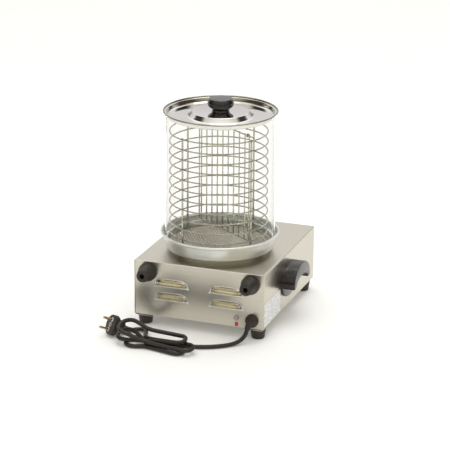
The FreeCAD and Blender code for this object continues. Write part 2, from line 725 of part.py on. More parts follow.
def control_knob():
    """A skirted knob with finger flutes and a raised pointer."""
    start = DIAL - BACK * KNOB_GAP
    reach = REACH + PANEL_INSET - KNOB_GAP
    face = reach - POINTER_H
    body = turned_out(
        [(0, 0), (KNOB_R, 0), (KNOB_R, 3.0), ((KNOB_R - 0.6, 4.4), (KNOB_R - 2.5, 5.0)),
         (16.2, face - 2.2), ((15.4, face - 0.5), (13.6, face)), (0, face)],
        start, -BACK)
    flutes = []
    for i in range(12):
        a = math.radians(30 * i + 15)
        spot = start + Vector(19.0 * math.cos(a), 0, 19.0 * math.sin(a))
        flutes.append(rod(spot - BACK * 6.5, spot - BACK * 40, 3.2))
    tip = start.y - reach
    pointer = block(-0.9, 0.9, tip, tip + 3, 3, 13)
    pointer = pointer.fuse(block(-0.9, 0.9, start.y - 5.2, start.y - 1, 14, 20.4))
    pointer.rotate(Vector(0, 0, 0), BACK, -135)
    pointer.translate(Vector(DIAL.x, 0, DIAL.z))
    hub = rod(start + BACK, start - BACK * 15.8, SHAFT_R)
    nut_room = rod(start + BACK, start - BACK * 1.4, 9.4)
    return body.cut(flutes).fuse(pointer).cut([hub, nut_room])


def capillary():
    """The thermostat's sensing bulb under the pan and the fine tube to it."""
    start = DIAL + Vector(0, PANEL_T + 25, 8)
    bulb_start = Vector(-34, STEAM_Y - 24, 106)
    bulb = rod(bulb_start, bulb_start + BACK * 58, 3.2)
    line = run_of_wire([start, start + BACK * 14, Vector(-70, -70, 90), Vector(-34, -16, 106),
                        bulb_start + BACK], 0.9)
    return join(bulb, [line])


def switch_body():
    """The rocker switch's case: bezel outside, open well for the rocker, two tabs behind."""
    s = SWITCH
    bezel = rounded_box(s.x, s.y - 1.0, s.z, Vector(24, 2.0, 32), 2.0, BACK)
    case = block(s.x - 10.4, s.x + 10.4, s.y, s.y + 24, s.z - 14, s.z + 14)
    tabs = [block(s.x - 3, s.x + 3, s.y + 23, s.y + 33, s.z + z - 0.5, s.z + z + 0.5) for z in (-7, 7)]
    well = block(s.x - 7.6, s.x + 7.6, s.y - 8, s.y + 15, s.z - 12.8, s.z + 12.8)
    pivot = rod(s + Vector(-9, 2, 0), s + Vector(9, 2, 0), 1.3)
    return join(bezel, [case] + tabs).cut([well, pivot])


def rocker_cap():
    """The rocker, with two faces in a shallow V, stored with its lower half pressed."""
    s = SWITCH
    axis = s + Vector(0, 2, 0)

    def at(y, z):
        return Vector(s.x - 7.0, axis.y + y, s.z + z)
    profile = outline(at(5.5, -6), at(5.5, 6), at(-1.5, 11.4), at(-6.2, 11.0),
                      (at(-4.6, 0), at(-6.2, -11.0)), at(-1.5, -11.4))
    cap = Part.Face(profile).extrude(Vector(14, 0, 0))
    pins = rod(axis + Vector(-8.7, 0, 0), axis + Vector(8.7, 0, 0), 1.24)
    solid = join(cap, [pins])
    solid.rotate(axis, SIDE, ROCKER_TILT)
    return solid


def pilot_body():
    """The pilot lamp's barrel with a flange outside and a clip inside."""
    barrel = rod(LAMP, LAMP + BACK * 20, 5.0)
    flange = rod(LAMP, LAMP - BACK * 1.4, 7.0)
    clip = rod(LAMP + BACK * PANEL_T, LAMP + BACK * (PANEL_T + 3), 7.2)
    return join(barrel, [flange, clip])


def pilot_lens():
    """The lamp's domed lens."""
    return turned_out([(0, 0), (5.6, 0), (5.6, 1.4), crown(5.6, 1.4, 4.4)],
                      LAMP - BACK * 1.4, -BACK)


def terminal_block():
    """Three-way terminal block on the base plate behind the cable gland."""
    floor = FOOT_H + SHEET + PANEL_T
    body = block(-104, -64, 92, 110, floor, floor + 16)
    wells = []
    for i in range(3):
        x = -97 + 13 * i
        wells.append(disc(2.6, floor + 6, floor + 17, Vector(x, 101, 0)))
        wells.append(rod(Vector(x, 91, floor + 6), Vector(x, 111, floor + 6), 2.4))
    return body.cut(wells)


def cutout():
    """The over-temperature cut-out, clipped under the heater."""
    low = SHIELD_Z + 12.5
    can = disc(8, low, low + 9, AXIS + Vector(0, -2, 0))
    return join(can, [block(-2, 2, STEAM_Y - 14, STEAM_Y + 10, low + 9, PLATE_LOW)])


WIRE_Z = FOOT_H + SHEET + PANEL_T + 6.0
INNER_WIRE_R = 1.3


def inner_wires():
    """The lead's three cores, and the wires that join block, switch, thermostat and element."""
    runs = []
    for i in range(3):
        well = -97 + 13 * i
        core = GLAND.x + 3 * (i - 1)
        runs.append([Vector(core, GLAND.y - 9, GLAND.z), Vector(core, 128, GLAND.z),
                     Vector(well, 116, WIRE_Z), Vector(well, 104, WIRE_Z)])
    tab_y = SWITCH.y + 33
    case_y = DIAL.y + PANEL_T + 25
    ends = [AXIS + Vector(ELEMENT_R * math.cos(a), ELEMENT_R * math.sin(a), 0)
            for a in (0, math.radians(320))]
    tail_z = PLATE_LOW + 1 - 24
    runs.append([Vector(-84, 98, WIRE_Z), Vector(-84, 70, WIRE_Z), Vector(34, -80, 30),
                 Vector(34, tab_y + 8, 63), Vector(34, tab_y, 63)])
    runs.append([Vector(-71, 98, WIRE_Z), Vector(-71, 76, WIRE_Z),
                 ends[1] + UP * 40, ends[1] + UP * tail_z])
    runs.append([Vector(34, tab_y, 77), Vector(34, tab_y + 8, 77),
                 Vector(-45, case_y + 14, 62), Vector(-45, case_y, 62)])
    runs.append([Vector(-60, case_y, 60), Vector(-60, case_y + 14, 60),
                 ends[0] + UP * 60, ends[0] + UP * tail_z])
    return Part.makeCompound([run_of_wire(run, INNER_WIRE_R) for run in runs])


# ---- mains lead ---------------------------------------------------------------------------
def cable_gland():
    """A domed rubber strain relief whose ribbed nose bends down with the lead."""
    dome = turned_out([(0, 0), (GLAND_R, 0), (GLAND_R, 2.4), ((10.4, 6.6), (6.6, 8.6)), (0, 8.6)],
                      GLAND, BACK)
    neck = rod(GLAND - BACK * 9, GLAND + BACK, 6.8)
    centre = GLAND + BACK * 8.0 - UP * NOSE_BEND
    nose = []
    for i in range(NOSE_RIBS):
        radius = 6.4 - 0.45 * i
        rib = Part.makeTorus(NOSE_BEND, radius, Vector(0, 0, 0), UP, -180, 180, NOSE_TURN / NOSE_RIBS)
        rib.rotate(Vector(0, 0, 0), UP, NOSE_TURN / NOSE_RIBS * i)
        rib.Placement = FreeCAD.Placement(centre, NOSE_FRAME).multiply(rib.Placement)
        nose.append(rib)
    solid = join(dome, [neck] + nose)
    solid.rotate(GLAND, BACK, -NOSE_SWING)
    return solid


# a torus starts at its own +X and turns towards its +Y: stand that up as +Z turning towards +Y
NOSE_FRAME = FreeCAD.Rotation(FreeCAD.Matrix(0, 0, -1, 0, 0, 1, 0, 0, 1, 0, 0, 0, 0, 0, 0, 1))


def nose_end():
    """The middle of the nose's open end."""
    turn = math.radians(NOSE_TURN)
    swing = math.radians(NOSE_SWING)
    back = 8.0 + NOSE_BEND * math.sin(turn)
    drop = NOSE_BEND * (1 - math.cos(turn))
    return GLAND + Vector(drop * math.sin(swing), back, -drop * math.cos(swing))


# the lead's way along the floor, from the gland to the hank, and from the hank to the plug
LEAD_ROUTE = [(-96.8, 166.3, 18.8), (-93.4, 170.8, 11.8), (-87.4, 178.0, 6.4), (-78.0, 189.0, 4.0),
              (-64.5, 201.5, 4.0), (-47.0, 212.5, 4.0), (-26.0, 220.5, 4.0), (-3.0, 225.0, 4.0)]
TAIL_ROUTE = [(66.5, 232.0, 12.0), (68.5, 213.0, 9.5), (73.8, 197.5, 7.4), (81.3, 186.3, 6.2),
              (90.0, 181.2, 5.6), (98.4, 180.2, 5.0), (106.6, 183.2, 4.6)]


def bend(before, corner, after):
    """The widest arc that rounds one corner of a route: its start, middle, end and radius."""
    back, onward = before - corner, after - corner
    cut = 0.45 * min(back.Length, onward.Length)
    back.normalize()
    onward.normalize()
    half_turn = (math.pi - back.getAngle(onward)) / 2
    radius = cut / math.tan(half_turn)
    inward = (back + onward).normalize()
    middle = corner + inward * (radius / math.cos(half_turn) - radius)
    return corner + back * cut, middle, corner + onward * cut, radius


def lead_tube(name, points):
    """A round tube along straight runs joined by tangent arcs; prints its radii and volume."""
    edges = []
    radii = []
    here = points[0]
    for before, corner, after in zip(points, points[1:], points[2:]):
        start, middle, end, radius = bend(before, corner, after)
        edges.append(Part.LineSegment(here, start).toShape())
        edges.append(Part.Arc(start, middle, end).toShape())
        radii.append(round(radius, 1))
        here = end
    edges.append(Part.LineSegment(here, points[-1]).toShape())
    path = Part.Wire(edges)
    ring = Part.Wire([Part.Circle(points[0], points[1] - points[0], CORD_R).toShape()])
    solid = path.makePipeShell([ring], True, False)
    expected = math.pi * CORD_R ** 2 * path.Length
    print(name, "radii", radii, "length", round(path.Length, 1),
          "volume ratio", round(solid.Volume / expected, 4))
    return solid


def power_cord(gland, hank):
    """The lead from the gland to the hank."""
    points = [nose_end()] + [Vector(*p) for p in LEAD_ROUTE]
    return lead_tube("power_cord", points).cut([gland, hank])


def cord_tail(hank, plug):
    """The lead's last stretch, from the hank to the plug's sleeve."""
    points = [Vector(*p) for p in TAIL_ROUTE] + [PLUG_FACE - PLUG_AIM * PLUG_LENGTH]
    return lead_tube("cord_tail", points).cut([hank, plug])


def cord_hank(tie):
    """The outer shape of the folded lead: wide at both ends and pulled in at the tie."""
    def plan(x, y):
        return Vector(x, y, 0)
    flat = outline(
        plan(-24, 221), (plan(18, 226), plan(TIE_X - 4, TIE_NEAR)), plan(TIE_X + 4, TIE_NEAR),
        (plan(84, 221), plan(110, 217)), (plan(122, 236), plan(110, 255)),
        (plan(84, 258), plan(TIE_X + 4, TIE_FAR)), plan(TIE_X - 4, TIE_FAR),
        (plan(24, 259), plan(-18, 267)), (plan(-32, 244), plan(-24, 221)))

    def side(x, z):
        return Vector(x, 200, z)
    tall = outline(
        side(-34, 0), side(126, 0), side(126, 36), side(108, 39), side(TIE_X + 6, TIE_TOP),
        side(TIE_X - 6, TIE_TOP), side(-6, 30), side(-34, 18))
    spread = Part.Face(flat).extrude(UP * 60)
    height = Part.Face(tall).extrude(Vector(0, 90, 0))
    return spread.common(height).cut(tie)


def cord_tie():
    """The black twist band round the hank's waist."""
    low, high = TIE_X - 2.0, TIE_X + 2.0
    outer = block(low, high, TIE_NEAR - 0.8, TIE_FAR + 0.8, 0, TIE_TOP + 0.8)
    return outer.cut(block(low - 1, high + 1, TIE_NEAR, TIE_FAR, 0.8, TIE_TOP))


def plug_frame(x, y, reach):
    """A point on or before the plug's face: x across, y along the pins' line, reach outwards."""
    side = PLUG_AIM.cross(PLUG_UP)
    return PLUG_FACE + side * x + PLUG_UP * y + PLUG_AIM * reach


def plug_body():
    """The plug's moulding: round head, tapering grip and a ribbed sleeve, lying on the floor."""
    long = PLUG_LENGTH
    profile = [(0, 0), (4.6, 0)]
    for i in range(4):
        low = 1.5 + 3.4 * i
        radius = 4.7 + 0.32 * i
        profile += [(radius, low), (radius - 0.8, low + 0.2), (radius - 0.7, low + 1.2),
                    (radius + 0.1, low + 1.4)]
    profile += [(6.2, 15.5), ((10.6, 16.6), (12.0, 19.0)), ((14.4, 27.4), (18.0, long - 10)),
                (PLUG_R, long - 9), (PLUG_R, long - 1.2),
                ((PLUG_R - 0.4, long - 0.4), (PLUG_R - 1.2, long)), (0, long)]
    solid = turned_out(profile, PLUG_FACE - PLUG_AIM * long, PLUG_AIM)
    seats = []
    for y in (-PIN_PITCH / 2, PIN_PITCH / 2):
        seats.append(rod(plug_frame(0, y, -2.5), plug_frame(0, y, 1), INSERT_R))
    seats.append(rod(plug_frame(0, 0, -12), plug_frame(0, 0, 1), INSERT_R))
    return solid.cut(seats)


def plug_inserts():
    """Three pale rings in the face: one round each pin and one that lines the earth socket."""
    rings = []
    for y in (-PIN_PITCH / 2, PIN_PITCH / 2):
        ring = rod(plug_frame(0, y, -2.5), plug_frame(0, y, 0.5), INSERT_R)
        rings.append(ring.cut(rod(plug_frame(0, y, -3), plug_frame(0, y, 1), PIN_R)))
    lining = rod(plug_frame(0, 0, -12), plug_frame(0, 0, 0.5), INSERT_R)
    rings.append(lining.cut(rod(plug_frame(0, 0, -11), plug_frame(0, 0, 1), 2.6)))
    return Part.makeCompound(rings)


def plug_pins():
    """The two live pins."""
    pins = []
    for y in (-PIN_PITCH / 2, PIN_PITCH / 2):
        shank = rod(plug_frame(0, y, -2.5), plug_frame(0, y, PIN_LENGTH - 1.2), PIN_R)
        tip = Part.makeCone(PIN_R, PIN_R - 1.2, 1.2, plug_frame(0, y, PIN_LENGTH - 1.2), PLUG_AIM)
        pins.append(join(shank, [tip]))
    return Part.makeCompound(pins)


def plug_contact():
    """The sprung earth contact inside its socket."""
    tube = rod(plug_frame(0, 0, -11), plug_frame(0, 0, -0.6), 2.6)
    return tube.cut(rod(plug_frame(0, 0, -10), plug_frame(0, 0, 1), 2.1))


def main():
    """Writes every node."""
    export("housing_shell", housing_shell())
    export("base_plate", base_plate())
    export("rear_panel", rear_panel())
    export("front_panel", front_panel())
    for name, x, y in (("front_left", -1, -1), ("front_right", 1, -1),
                       ("rear_left", -1, 1), ("rear_right", 1, 1)):
        export("foot_" + name, foot(x * FOOT_X, y * FOOT_Y))
    export("foot_screws", foot_screws())
    export("wall_bumper_left", bumper(-BUMPER_X))
    export("wall_bumper_right", bumper(BUMPER_X))
    export("bumper_screws", bumper_screws())
    export("earth_screw", earth_screw())
    export("earth_mark", earth_mark())
    export("rating_label", rating_label())
    export("side_handle", handle())
    export("handle_screws", handle_screws())
    export("pan_neck", pan_neck())
    export("water_pan", water_pan())
    export("glass_seat", glass_seat())
    export("heater_plate", heater_plate())
    export("heating_element", heating_element())
    export("heater_studs", heater_studs())
    export("insulation_pad", insulation_pad())
    export("heat_shield", heat_shield())
    export("over_temperature_cutout", cutout())
    export("diffuser_plate", diffuser_plate())
    export("glass_cylinder", glass_cylinder())
    export("basket_rings", basket_rings())
    export("basket_rods", basket_rods())
    export("basket_divider", basket_divider())
    export("lid", lid())
    export("lid_knob", lid_knob())
    export("lid_knob_screw", lid_knob_screw())
    export("dial_plate", dial_plate())
    export("thermostat_body", thermostat_body())
    export("thermostat_nut", thermostat_nut())
    export("thermostat_shaft", thermostat_shaft())
    export("capillary_bulb", capillary())
    export("control_knob", control_knob())
    export("switch_body", switch_body())
    export("rocker_cap", rocker_cap())
    export("pilot_body", pilot_body())
    export("pilot_lens", pilot_lens())
    export("terminal_block", terminal_block())
    export("inner_wires", inner_wires())
    gland = cable_gland()
    tie = cord_tie()
    hank = cord_hank(tie)
    plug = plug_body()
    export("cable_gland", gland)
    export("power_cord", power_cord(gland, hank))
    export("cord_hank", hank)
    export("cord_tie", tie)
    export("cord_tail", cord_tail(hank, plug))
    export("plug_body", plug)
    export("plug_inserts", plug_inserts())
    export("plug_pins", plug_pins())
    export("plug_contact", plug_contact())


main()
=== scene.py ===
"""Hot dog steamer: the looks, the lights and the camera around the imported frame.

Everything is in metres in the row frame: +Z up, the controls face -Y, the vents and the lead face +Y.
"""

import json
import math
import random

import bmesh
import bpy
from mathutils import Matrix, Vector
from mathutils.geometry import delaunay_2d_cdt


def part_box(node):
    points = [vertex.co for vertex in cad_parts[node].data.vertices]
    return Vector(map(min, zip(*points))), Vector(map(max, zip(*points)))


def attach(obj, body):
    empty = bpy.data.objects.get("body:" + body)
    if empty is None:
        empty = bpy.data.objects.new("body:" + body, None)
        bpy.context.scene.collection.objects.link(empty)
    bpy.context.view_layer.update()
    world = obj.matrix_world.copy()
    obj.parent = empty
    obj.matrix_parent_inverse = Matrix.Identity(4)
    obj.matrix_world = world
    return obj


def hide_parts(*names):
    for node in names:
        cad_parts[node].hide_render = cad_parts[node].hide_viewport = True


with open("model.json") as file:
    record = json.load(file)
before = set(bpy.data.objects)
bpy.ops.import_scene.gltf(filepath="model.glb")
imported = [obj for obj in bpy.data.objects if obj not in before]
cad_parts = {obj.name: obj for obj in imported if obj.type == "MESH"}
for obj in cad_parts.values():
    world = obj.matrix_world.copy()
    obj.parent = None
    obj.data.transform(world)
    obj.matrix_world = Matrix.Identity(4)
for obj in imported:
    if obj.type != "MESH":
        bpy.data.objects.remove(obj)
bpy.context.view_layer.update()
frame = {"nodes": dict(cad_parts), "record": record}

MM = 0.001
UP = Vector((0, 0, 1))
BACK = Vector((0, 1, 0))
SIDE = Vector((1, 0, 0))


def on_floor(low, high):
    """The point on the floor under the middle of a box."""
    return Vector(((low.x + high.x) / 2, (low.y + high.y) / 2, 0))


# ---- places read from the frame ----
shell_low, shell_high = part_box("housing_shell")
glass_low, glass_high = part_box("glass_cylinder")
pan_low, pan_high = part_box("water_pan")
diffuser_low, diffuser_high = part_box("diffuser_plate")
rings_low, rings_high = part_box("basket_rings")
rear_low, rear_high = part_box("rear_panel")
knob_low, knob_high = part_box("lid_knob")

MIDDLE = (shell_low.x + shell_high.x) / 2      # the housing's middle; the handle puts it off X = 0
STEAM = on_floor(glass_low, glass_high)
BASKET = on_floor(rings_low, rings_high)
GLASS_R = (glass_high.x - glass_low.x) / 2
PANEL_INSET = 0.8 * MM             # the rear panel lies this far inside the housing's edge
REAR_FACE = shell_high.y - PANEL_INSET


# ---- small helpers ----
def mm(x, y, z):
    """A point given in millimetres from the middle of the housing."""
    return Vector((x, y, z)) * MM + SIDE * MIDDLE


def placed(name, data):
    """A new object in the scene."""
    made = bpy.data.objects.new(name, data)
    bpy.context.scene.collection.objects.link(made)
    return made


def add(name, mesh, body, slot, replaces=(), look=None, smooth=35):
    """Makes a piece from a mesh, gives it its slot's look or another, and lets it ride on a body."""
    piece = placed(name, mesh)
    mesh.shade_smooth()
    mesh.set_sharp_from_angle(angle=math.radians(smooth))
    mesh.materials.clear()
    mesh.materials.append(look or looks[slot])
    if replaces:
        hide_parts(*replaces)
    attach(piece, body)
    return piece


def mesh_from(name, verts, faces):
    """A mesh whose normals point out of the solid."""
    mesh = bpy.data.meshes.new(name)
    mesh.from_pydata([tuple(v) for v in verts], [], faces)
    tidy = bmesh.new()
    tidy.from_mesh(mesh)
    bmesh.ops.remove_doubles(tidy, verts=tidy.verts, dist=1e-7)
    bmesh.ops.recalc_face_normals(tidy, faces=tidy.faces)
    tidy.to_mesh(mesh)
    tidy.free()
    return mesh


def finished(name, work):
    """The mesh of a bmesh, which is then freed."""
    mesh = bpy.data.meshes.new(name)
    work.to_mesh(mesh)
    work.free()
    return mesh


def merged(name, meshes):
    """One mesh from several."""
    whole = bmesh.new()
    for mesh in meshes:
        whole.from_mesh(mesh)
        bpy.data.meshes.remove(mesh)
    return finished(name, whole)


def rounded(points, steps=5):
    """An outline whose corners are rounded: a point is (r, z) for a sharp corner or (r, z, radius)."""
    out = []
    count = len(points)
    for i, point in enumerate(points):
        here = Vector(point[:2])
        if len(point) == 2:
            out.append(here)
            continue
        before = Vector(points[i - 1][:2]) - here
        after = Vector(points[(i + 1) % count][:2]) - here
        half = before.angle(after) / 2
        cut = min(point[2] / math.tan(half), 0.49 * before.length, 0.49 * after.length)
        start = here + before.normalized() * cut
        end = here + after.normalized() * cut
        for k in range(steps + 1):
            t = k / steps
            out.append(start * (1 - t) ** 2 + here * 2 * t * (1 - t) + end * t ** 2)
    return out


def evenly_round(x, y, radius, count):
    """Points evenly round a circle."""
    turns = [2 * math.pi * k / count for k in range(count)]
    return [(x + radius * math.cos(a), y + radius * math.sin(a)) for a in turns]


def lathe(name, outline, centre=STEAM, segments=160, aim=UP, steps=5):
    """A closed outline of (radius, height) in millimetres, turned about the line through centre."""
    ring = rounded(outline, steps)
    turn = UP.rotation_difference(Vector(aim).normalized()).to_matrix()
    verts = []
    for i in range(segments):
        a = 2 * math.pi * i / segments
        for p in ring:
            spot = Vector((p.x * math.cos(a), p.x * math.sin(a), p.y)) * MM
            verts.append(Vector(centre) + turn @ spot)
    count = len(ring)
    faces = []
    for i in range(segments):
        for k in range(count):
            a, b = i * count + k, i * count + (k + 1) % count
            c, d = ((i + 1) % segments) * count + (k + 1) % count, ((i + 1) % segments) * count + k
            if abs(ring[k].x) < 1e-6 and abs(ring[(k + 1) % count].x) < 1e-6:
                continue
            faces.append((a, b, c, d))
    return mesh_from(name, verts, faces)


def tube(name, points, radius, cyclic=False, smooth=False, sides=4, steps=6):
    """A round curve through points, or smoothly near them; radius in millimetres."""
    curve = bpy.data.curves.new(name, "CURVE")
    curve.dimensions = "3D"
    curve.bevel_depth = radius * MM
    curve.bevel_resolution = sides
    curve.use_fill_caps = not cyclic
    spline = curve.splines.new("NURBS" if smooth else "POLY")
    spline.points.add(len(points) - 1)
    for spot, p in zip(spline.points, points):
        spot.co = (*p, 1)
    if smooth:
        spline.order_u = 3
        spline.use_endpoint_u = True
        spline.resolution_u = steps
    spline.use_cyclic_u = cyclic
    return curve


def wire(name, points, radius, cyclic=False, smooth=False):
    """A round wire, as a mesh."""
    curve = tube(name, points, radius, cyclic, smooth)
    carrier = bpy.data.objects.new(name, curve)
    mesh = bpy.data.meshes.new_from_object(carrier)
    bpy.data.objects.remove(carrier)
    bpy.data.curves.remove(curve)
    return mesh


def circle(centre, radius, z, count, lean):
    """Points round an upright axis, a little out of level by lean along X and Y."""
    points = []
    for i in range(count):
        a = 2 * math.pi * i / count
        x, y = radius * math.cos(a), radius * math.sin(a)
        points.append(Vector((centre.x + x, centre.y + y, z + lean[0] * x + lean[1] * y)))
    return points


def slab(name, outline, thickness, lift, axes, holes=(), round_by=0.0, round_steps=3):
    """A plate from a flat outline, with holes: axes are its right, up and outward directions."""
    loops = [outline] + list(holes)
    points = [p for loop in loops for p in loop]
    faces = []
    start = 0
    for loop in loops:
        faces.append(list(range(start, start + len(loop))))
        start += len(loop)
    if holes:
        edges = []
        for loop in faces:
            edges += [(loop[i], loop[(i + 1) % len(loop)]) for i in range(len(loop))]
        flat = [Vector(p) for p in points]
        points, _, faces = delaunay_2d_cdt(flat, edges, faces, 2, 1e-6)[:3]
    right, up, out = axes
    work = bmesh.new()
    verts = [work.verts.new((right * p[0] + up * p[1]) * MM + Vector(lift)) for p in points]
    for face in faces:
        work.faces.new([verts[i] for i in face])
    base = list(work.faces)
    grown = bmesh.ops.extrude_face_region(work, geom=base)
    moved = [g for g in grown["geom"] if isinstance(g, bmesh.types.BMVert)]
    bmesh.ops.translate(work, verts=moved, vec=Vector(out) * thickness * MM)
    bmesh.ops.recalc_face_normals(work, faces=work.faces)
    if round_by:
        top = Vector(out).dot(moved[0].co)
        edges = [e for e in work.edges if len(e.link_faces) == 2
                 and all(abs(Vector(out).dot(v.co) - top) < 1e-7 for v in e.verts)
                 and e.calc_face_angle(0) > 0.6]
        bmesh.ops.bevel(work, geom=edges, offset=round_by * MM, segments=round_steps,
                        profile=0.5, affect="EDGES", clamp_overlap=True)
    return finished(name, work)


# ---- materials ----
class Nodes:
    """A node tree under construction."""

    def __init__(self, tree):
        self.tree = tree

    def node(self, kind, **values):
        """A new node with the given settings."""
        made = self.tree.nodes.new(kind)
        for key, value in values.items():
            setattr(made, key, value)
        return made

    def link(self, out, into):
        """Joins an output to an input."""
        self.tree.links.new(out, into)

    def math(self, operation, *terms):
        """The result of a maths node; each term is a socket or a number."""
        made = self.node("ShaderNodeMath", operation=operation)
        for into, term in zip(made.inputs, terms):
            if isinstance(term, float):
                into.default_value = term
            else:
                self.link(term, into)
        return made.outputs[0]

    def ramp(self, fac, stops):
        """A colour that changes with fac; each stop is (place, colour)."""
        ramp = self.node("ShaderNodeValToRGB")
        bar = ramp.color_ramp.elements
        while len(bar) < len(stops):
            bar.new(0.5)
        for element, (spot, colour) in zip(bar, stops):
            element.position = spot
            element.color = (*colour, 1)
        self.link(fac, ramp.inputs["Fac"])
        return ramp.outputs["Color"]

    def height(self, where):
        """The Z of a vector."""
        split = self.node("ShaderNodeSeparateXYZ")
        self.link(where, split.inputs[0])
        return split.outputs["Z"]

    def span(self, fac, before, after, kind="LINEAR"):
        """A number carried from one range to another."""
        made = self.node("ShaderNodeMapRange", interpolation_type=kind)
        for name, value in zip(("From Min", "From Max", "To Min", "To Max"), (*before, *after)):
            made.inputs[name].default_value = value
        self.link(fac, made.inputs["Value"])
        return made.outputs["Result"]


class Look(Nodes):
    """A Principled material under construction, with short names for the nodes it uses."""

    def __init__(self, name, colour, metallic=0.0, roughness=0.5, **sockets):
        self.material = bpy.data.materials.new(name)
        self.material.use_nodes = True
        super().__init__(self.material.node_tree)
        self.shader = self.tree.nodes["Principled BSDF"]
        self.shader.inputs["Base Color"].default_value = (*colour, 1)
        self.shader.inputs["Metallic"].default_value = metallic
        self.shader.inputs["Roughness"].default_value = roughness
        for key, value in sockets.items():
            socket = key.replace("_", " ").title().replace("Ior", "IOR")
            self.shader.inputs[socket].default_value = value

    def place(self, stretch=(1, 1, 1)):
        """Object coordinates, stretched."""
        coords = self.node("ShaderNodeTexCoord")
        mapping = self.node("ShaderNodeMapping")
        mapping.inputs["Scale"].default_value = stretch
        self.link(coords.outputs["Object"], mapping.inputs["Vector"])
        return mapping.outputs["Vector"]

    def ring_place(self, centre):
        """Distance from an upright axis, and height: what a lathe's marks follow."""
        shift = self.node("ShaderNodeVectorMath", operation="SUBTRACT")
        shift.inputs[1].default_value = centre
        level = self.node("ShaderNodeVectorMath", operation="MULTIPLY")
        level.inputs[1].default_value = (1, 1, 0)
        reach = self.node("ShaderNodeVectorMath", operation="LENGTH")
        joined = self.node("ShaderNodeCombineXYZ")
        self.link(self.node("ShaderNodeTexCoord").outputs["Object"], shift.inputs[0])
        self.link(shift.outputs[0], level.inputs[0])
        self.link(level.outputs[0], reach.inputs[0])
        self.link(reach.outputs["Value"], joined.inputs["X"])
        self.link(self.height(shift.outputs[0]), joined.inputs["Z"])
        return joined.outputs[0]

    def noise(self, where, scale, detail=4.0, rough=0.55):
        """Fractal noise from 0 to 1."""
        made = self.node("ShaderNodeTexNoise")
        made.inputs["Scale"].default_value = scale
        made.inputs["Detail"].default_value = detail
        made.inputs["Roughness"].default_value = rough
        self.link(where, made.inputs["Vector"])
        return made.outputs["Fac"]

    def colour_by(self, fac, *stops):
        """The colour, by a ramp of (place, colour) stops."""
        self.link(self.ramp(fac, stops), self.shader.inputs["Base Color"])

    def rough_by(self, fac, low, high):
        """The roughness, from low to high."""
        self.link(self.span(fac, (0.0, 1.0), (low, high)), self.shader.inputs["Roughness"])

    def bump_by(self, fac, distance, strength=1.0, below=None):
        """Bumps up to distance metres high, on top of those given as below."""
        made = self.node("ShaderNodeBump")
        made.inputs["Strength"].default_value = strength
        made.inputs["Distance"].default_value = distance
        self.link(fac, made.inputs["Height"])
        if below is not None:
            self.link(below, made.inputs["Normal"])
        self.link(made.outputs["Normal"], self.shader.inputs["Normal"])
        return made.outputs["Normal"]


def tint(colour, by):
    """A colour made lighter or darker."""
    return tuple(min(1.0, c * by) for c in colour)


def brushed(name, colour, grain, roughness=(0.24, 0.38)):
    """Satin sheet: fine streaks along one direction, with faint clouds in its gloss."""
    look = Look(name, colour, metallic=1.0, roughness=0.3)
    streaks = look.noise(look.place(grain), 1.0, 8.0, 0.7)
    clouds = look.noise(look.place(), 9.0, 3.0)
    look.colour_by(streaks, (0.25, tint(colour, 0.90)), (0.75, tint(colour, 1.07)))
    look.rough_by(clouds, *roughness)
    look.bump_by(streaks, 0.00002, 0.35)
    return look.material


def spun(name, colour, centre, fineness, roughness, depth):
    """Metal turned on a lathe: fine rings round an upright axis."""
    look = Look(name, colour, metallic=1.0, roughness=0.3)
    rings = look.noise(look.ring_place(centre), fineness, 6.0, 0.65)
    clouds = look.noise(look.place(), 14.0, 3.0)
    look.colour_by(clouds, (0.3, tint(colour, 0.95)), (0.7, tint(colour, 1.04)))
    look.rough_by(rings, *roughness)
    look.bump_by(rings, depth, 0.5)
    return look.material


def moulded(name, colour, roughness, grain, depth, coat=0.0, gloss=0.5):
    """A moulding: slight mottle in colour and gloss over a fine grain."""
    look = Look(name, colour, roughness=0.5, coat_weight=coat, coat_roughness=0.12,
                specular_ior_level=gloss)
    mottle = look.noise(look.place(), 60.0, 4.0)
    fine = look.noise(look.place(), grain, 3.0)
    look.colour_by(mottle, (0.3, tint(colour, 0.82)), (0.7, tint(colour, 1.18)))
    look.rough_by(mottle, *roughness)
    look.bump_by(fine, depth, 0.6)
    return look.material


def clear_glass():
    """Heat-resisting glass that hardly bends what is behind it; lamps shine through with no shadow."""
    look = Look("clear_glass", (0.985, 0.99, 0.988), roughness=0.0, ior=1.06,
                transmission_weight=1.0, coat_weight=0.22, coat_roughness=0.02)
    smear = look.noise(look.place((1, 1, 0.3)), 16.0, 2.0)
    look.rough_by(smear, 0.0, 0.012)
    grazing = look.node("ShaderNodeLayerWeight")
    grazing.inputs["Blend"].default_value = 0.5
    look.colour_by(grazing.outputs["Facing"], (0.0, (0.975, 0.98, 0.975)), (0.60, (0.95, 0.95, 0.945)),
                   (0.86, (0.72, 0.72, 0.705)), (1.0, (0.30, 0.30, 0.29)))
    path = look.node("ShaderNodeLightPath")
    open_air = look.node("ShaderNodeBsdfTransparent")
    open_air.inputs["Color"].default_value = (0.97, 0.98, 0.975, 1)
    mix = look.node("ShaderNodeMixShader")
    output = look.tree.nodes["Material Output"]
    look.link(path.outputs["Is Shadow Ray"], mix.inputs["Fac"])
    look.link(look.shader.outputs["BSDF"], mix.inputs[1])
    look.link(open_air.outputs["BSDF"], mix.inputs[2])
    look.link(mix.outputs["Shader"], output.inputs["Surface"])
    return look.material


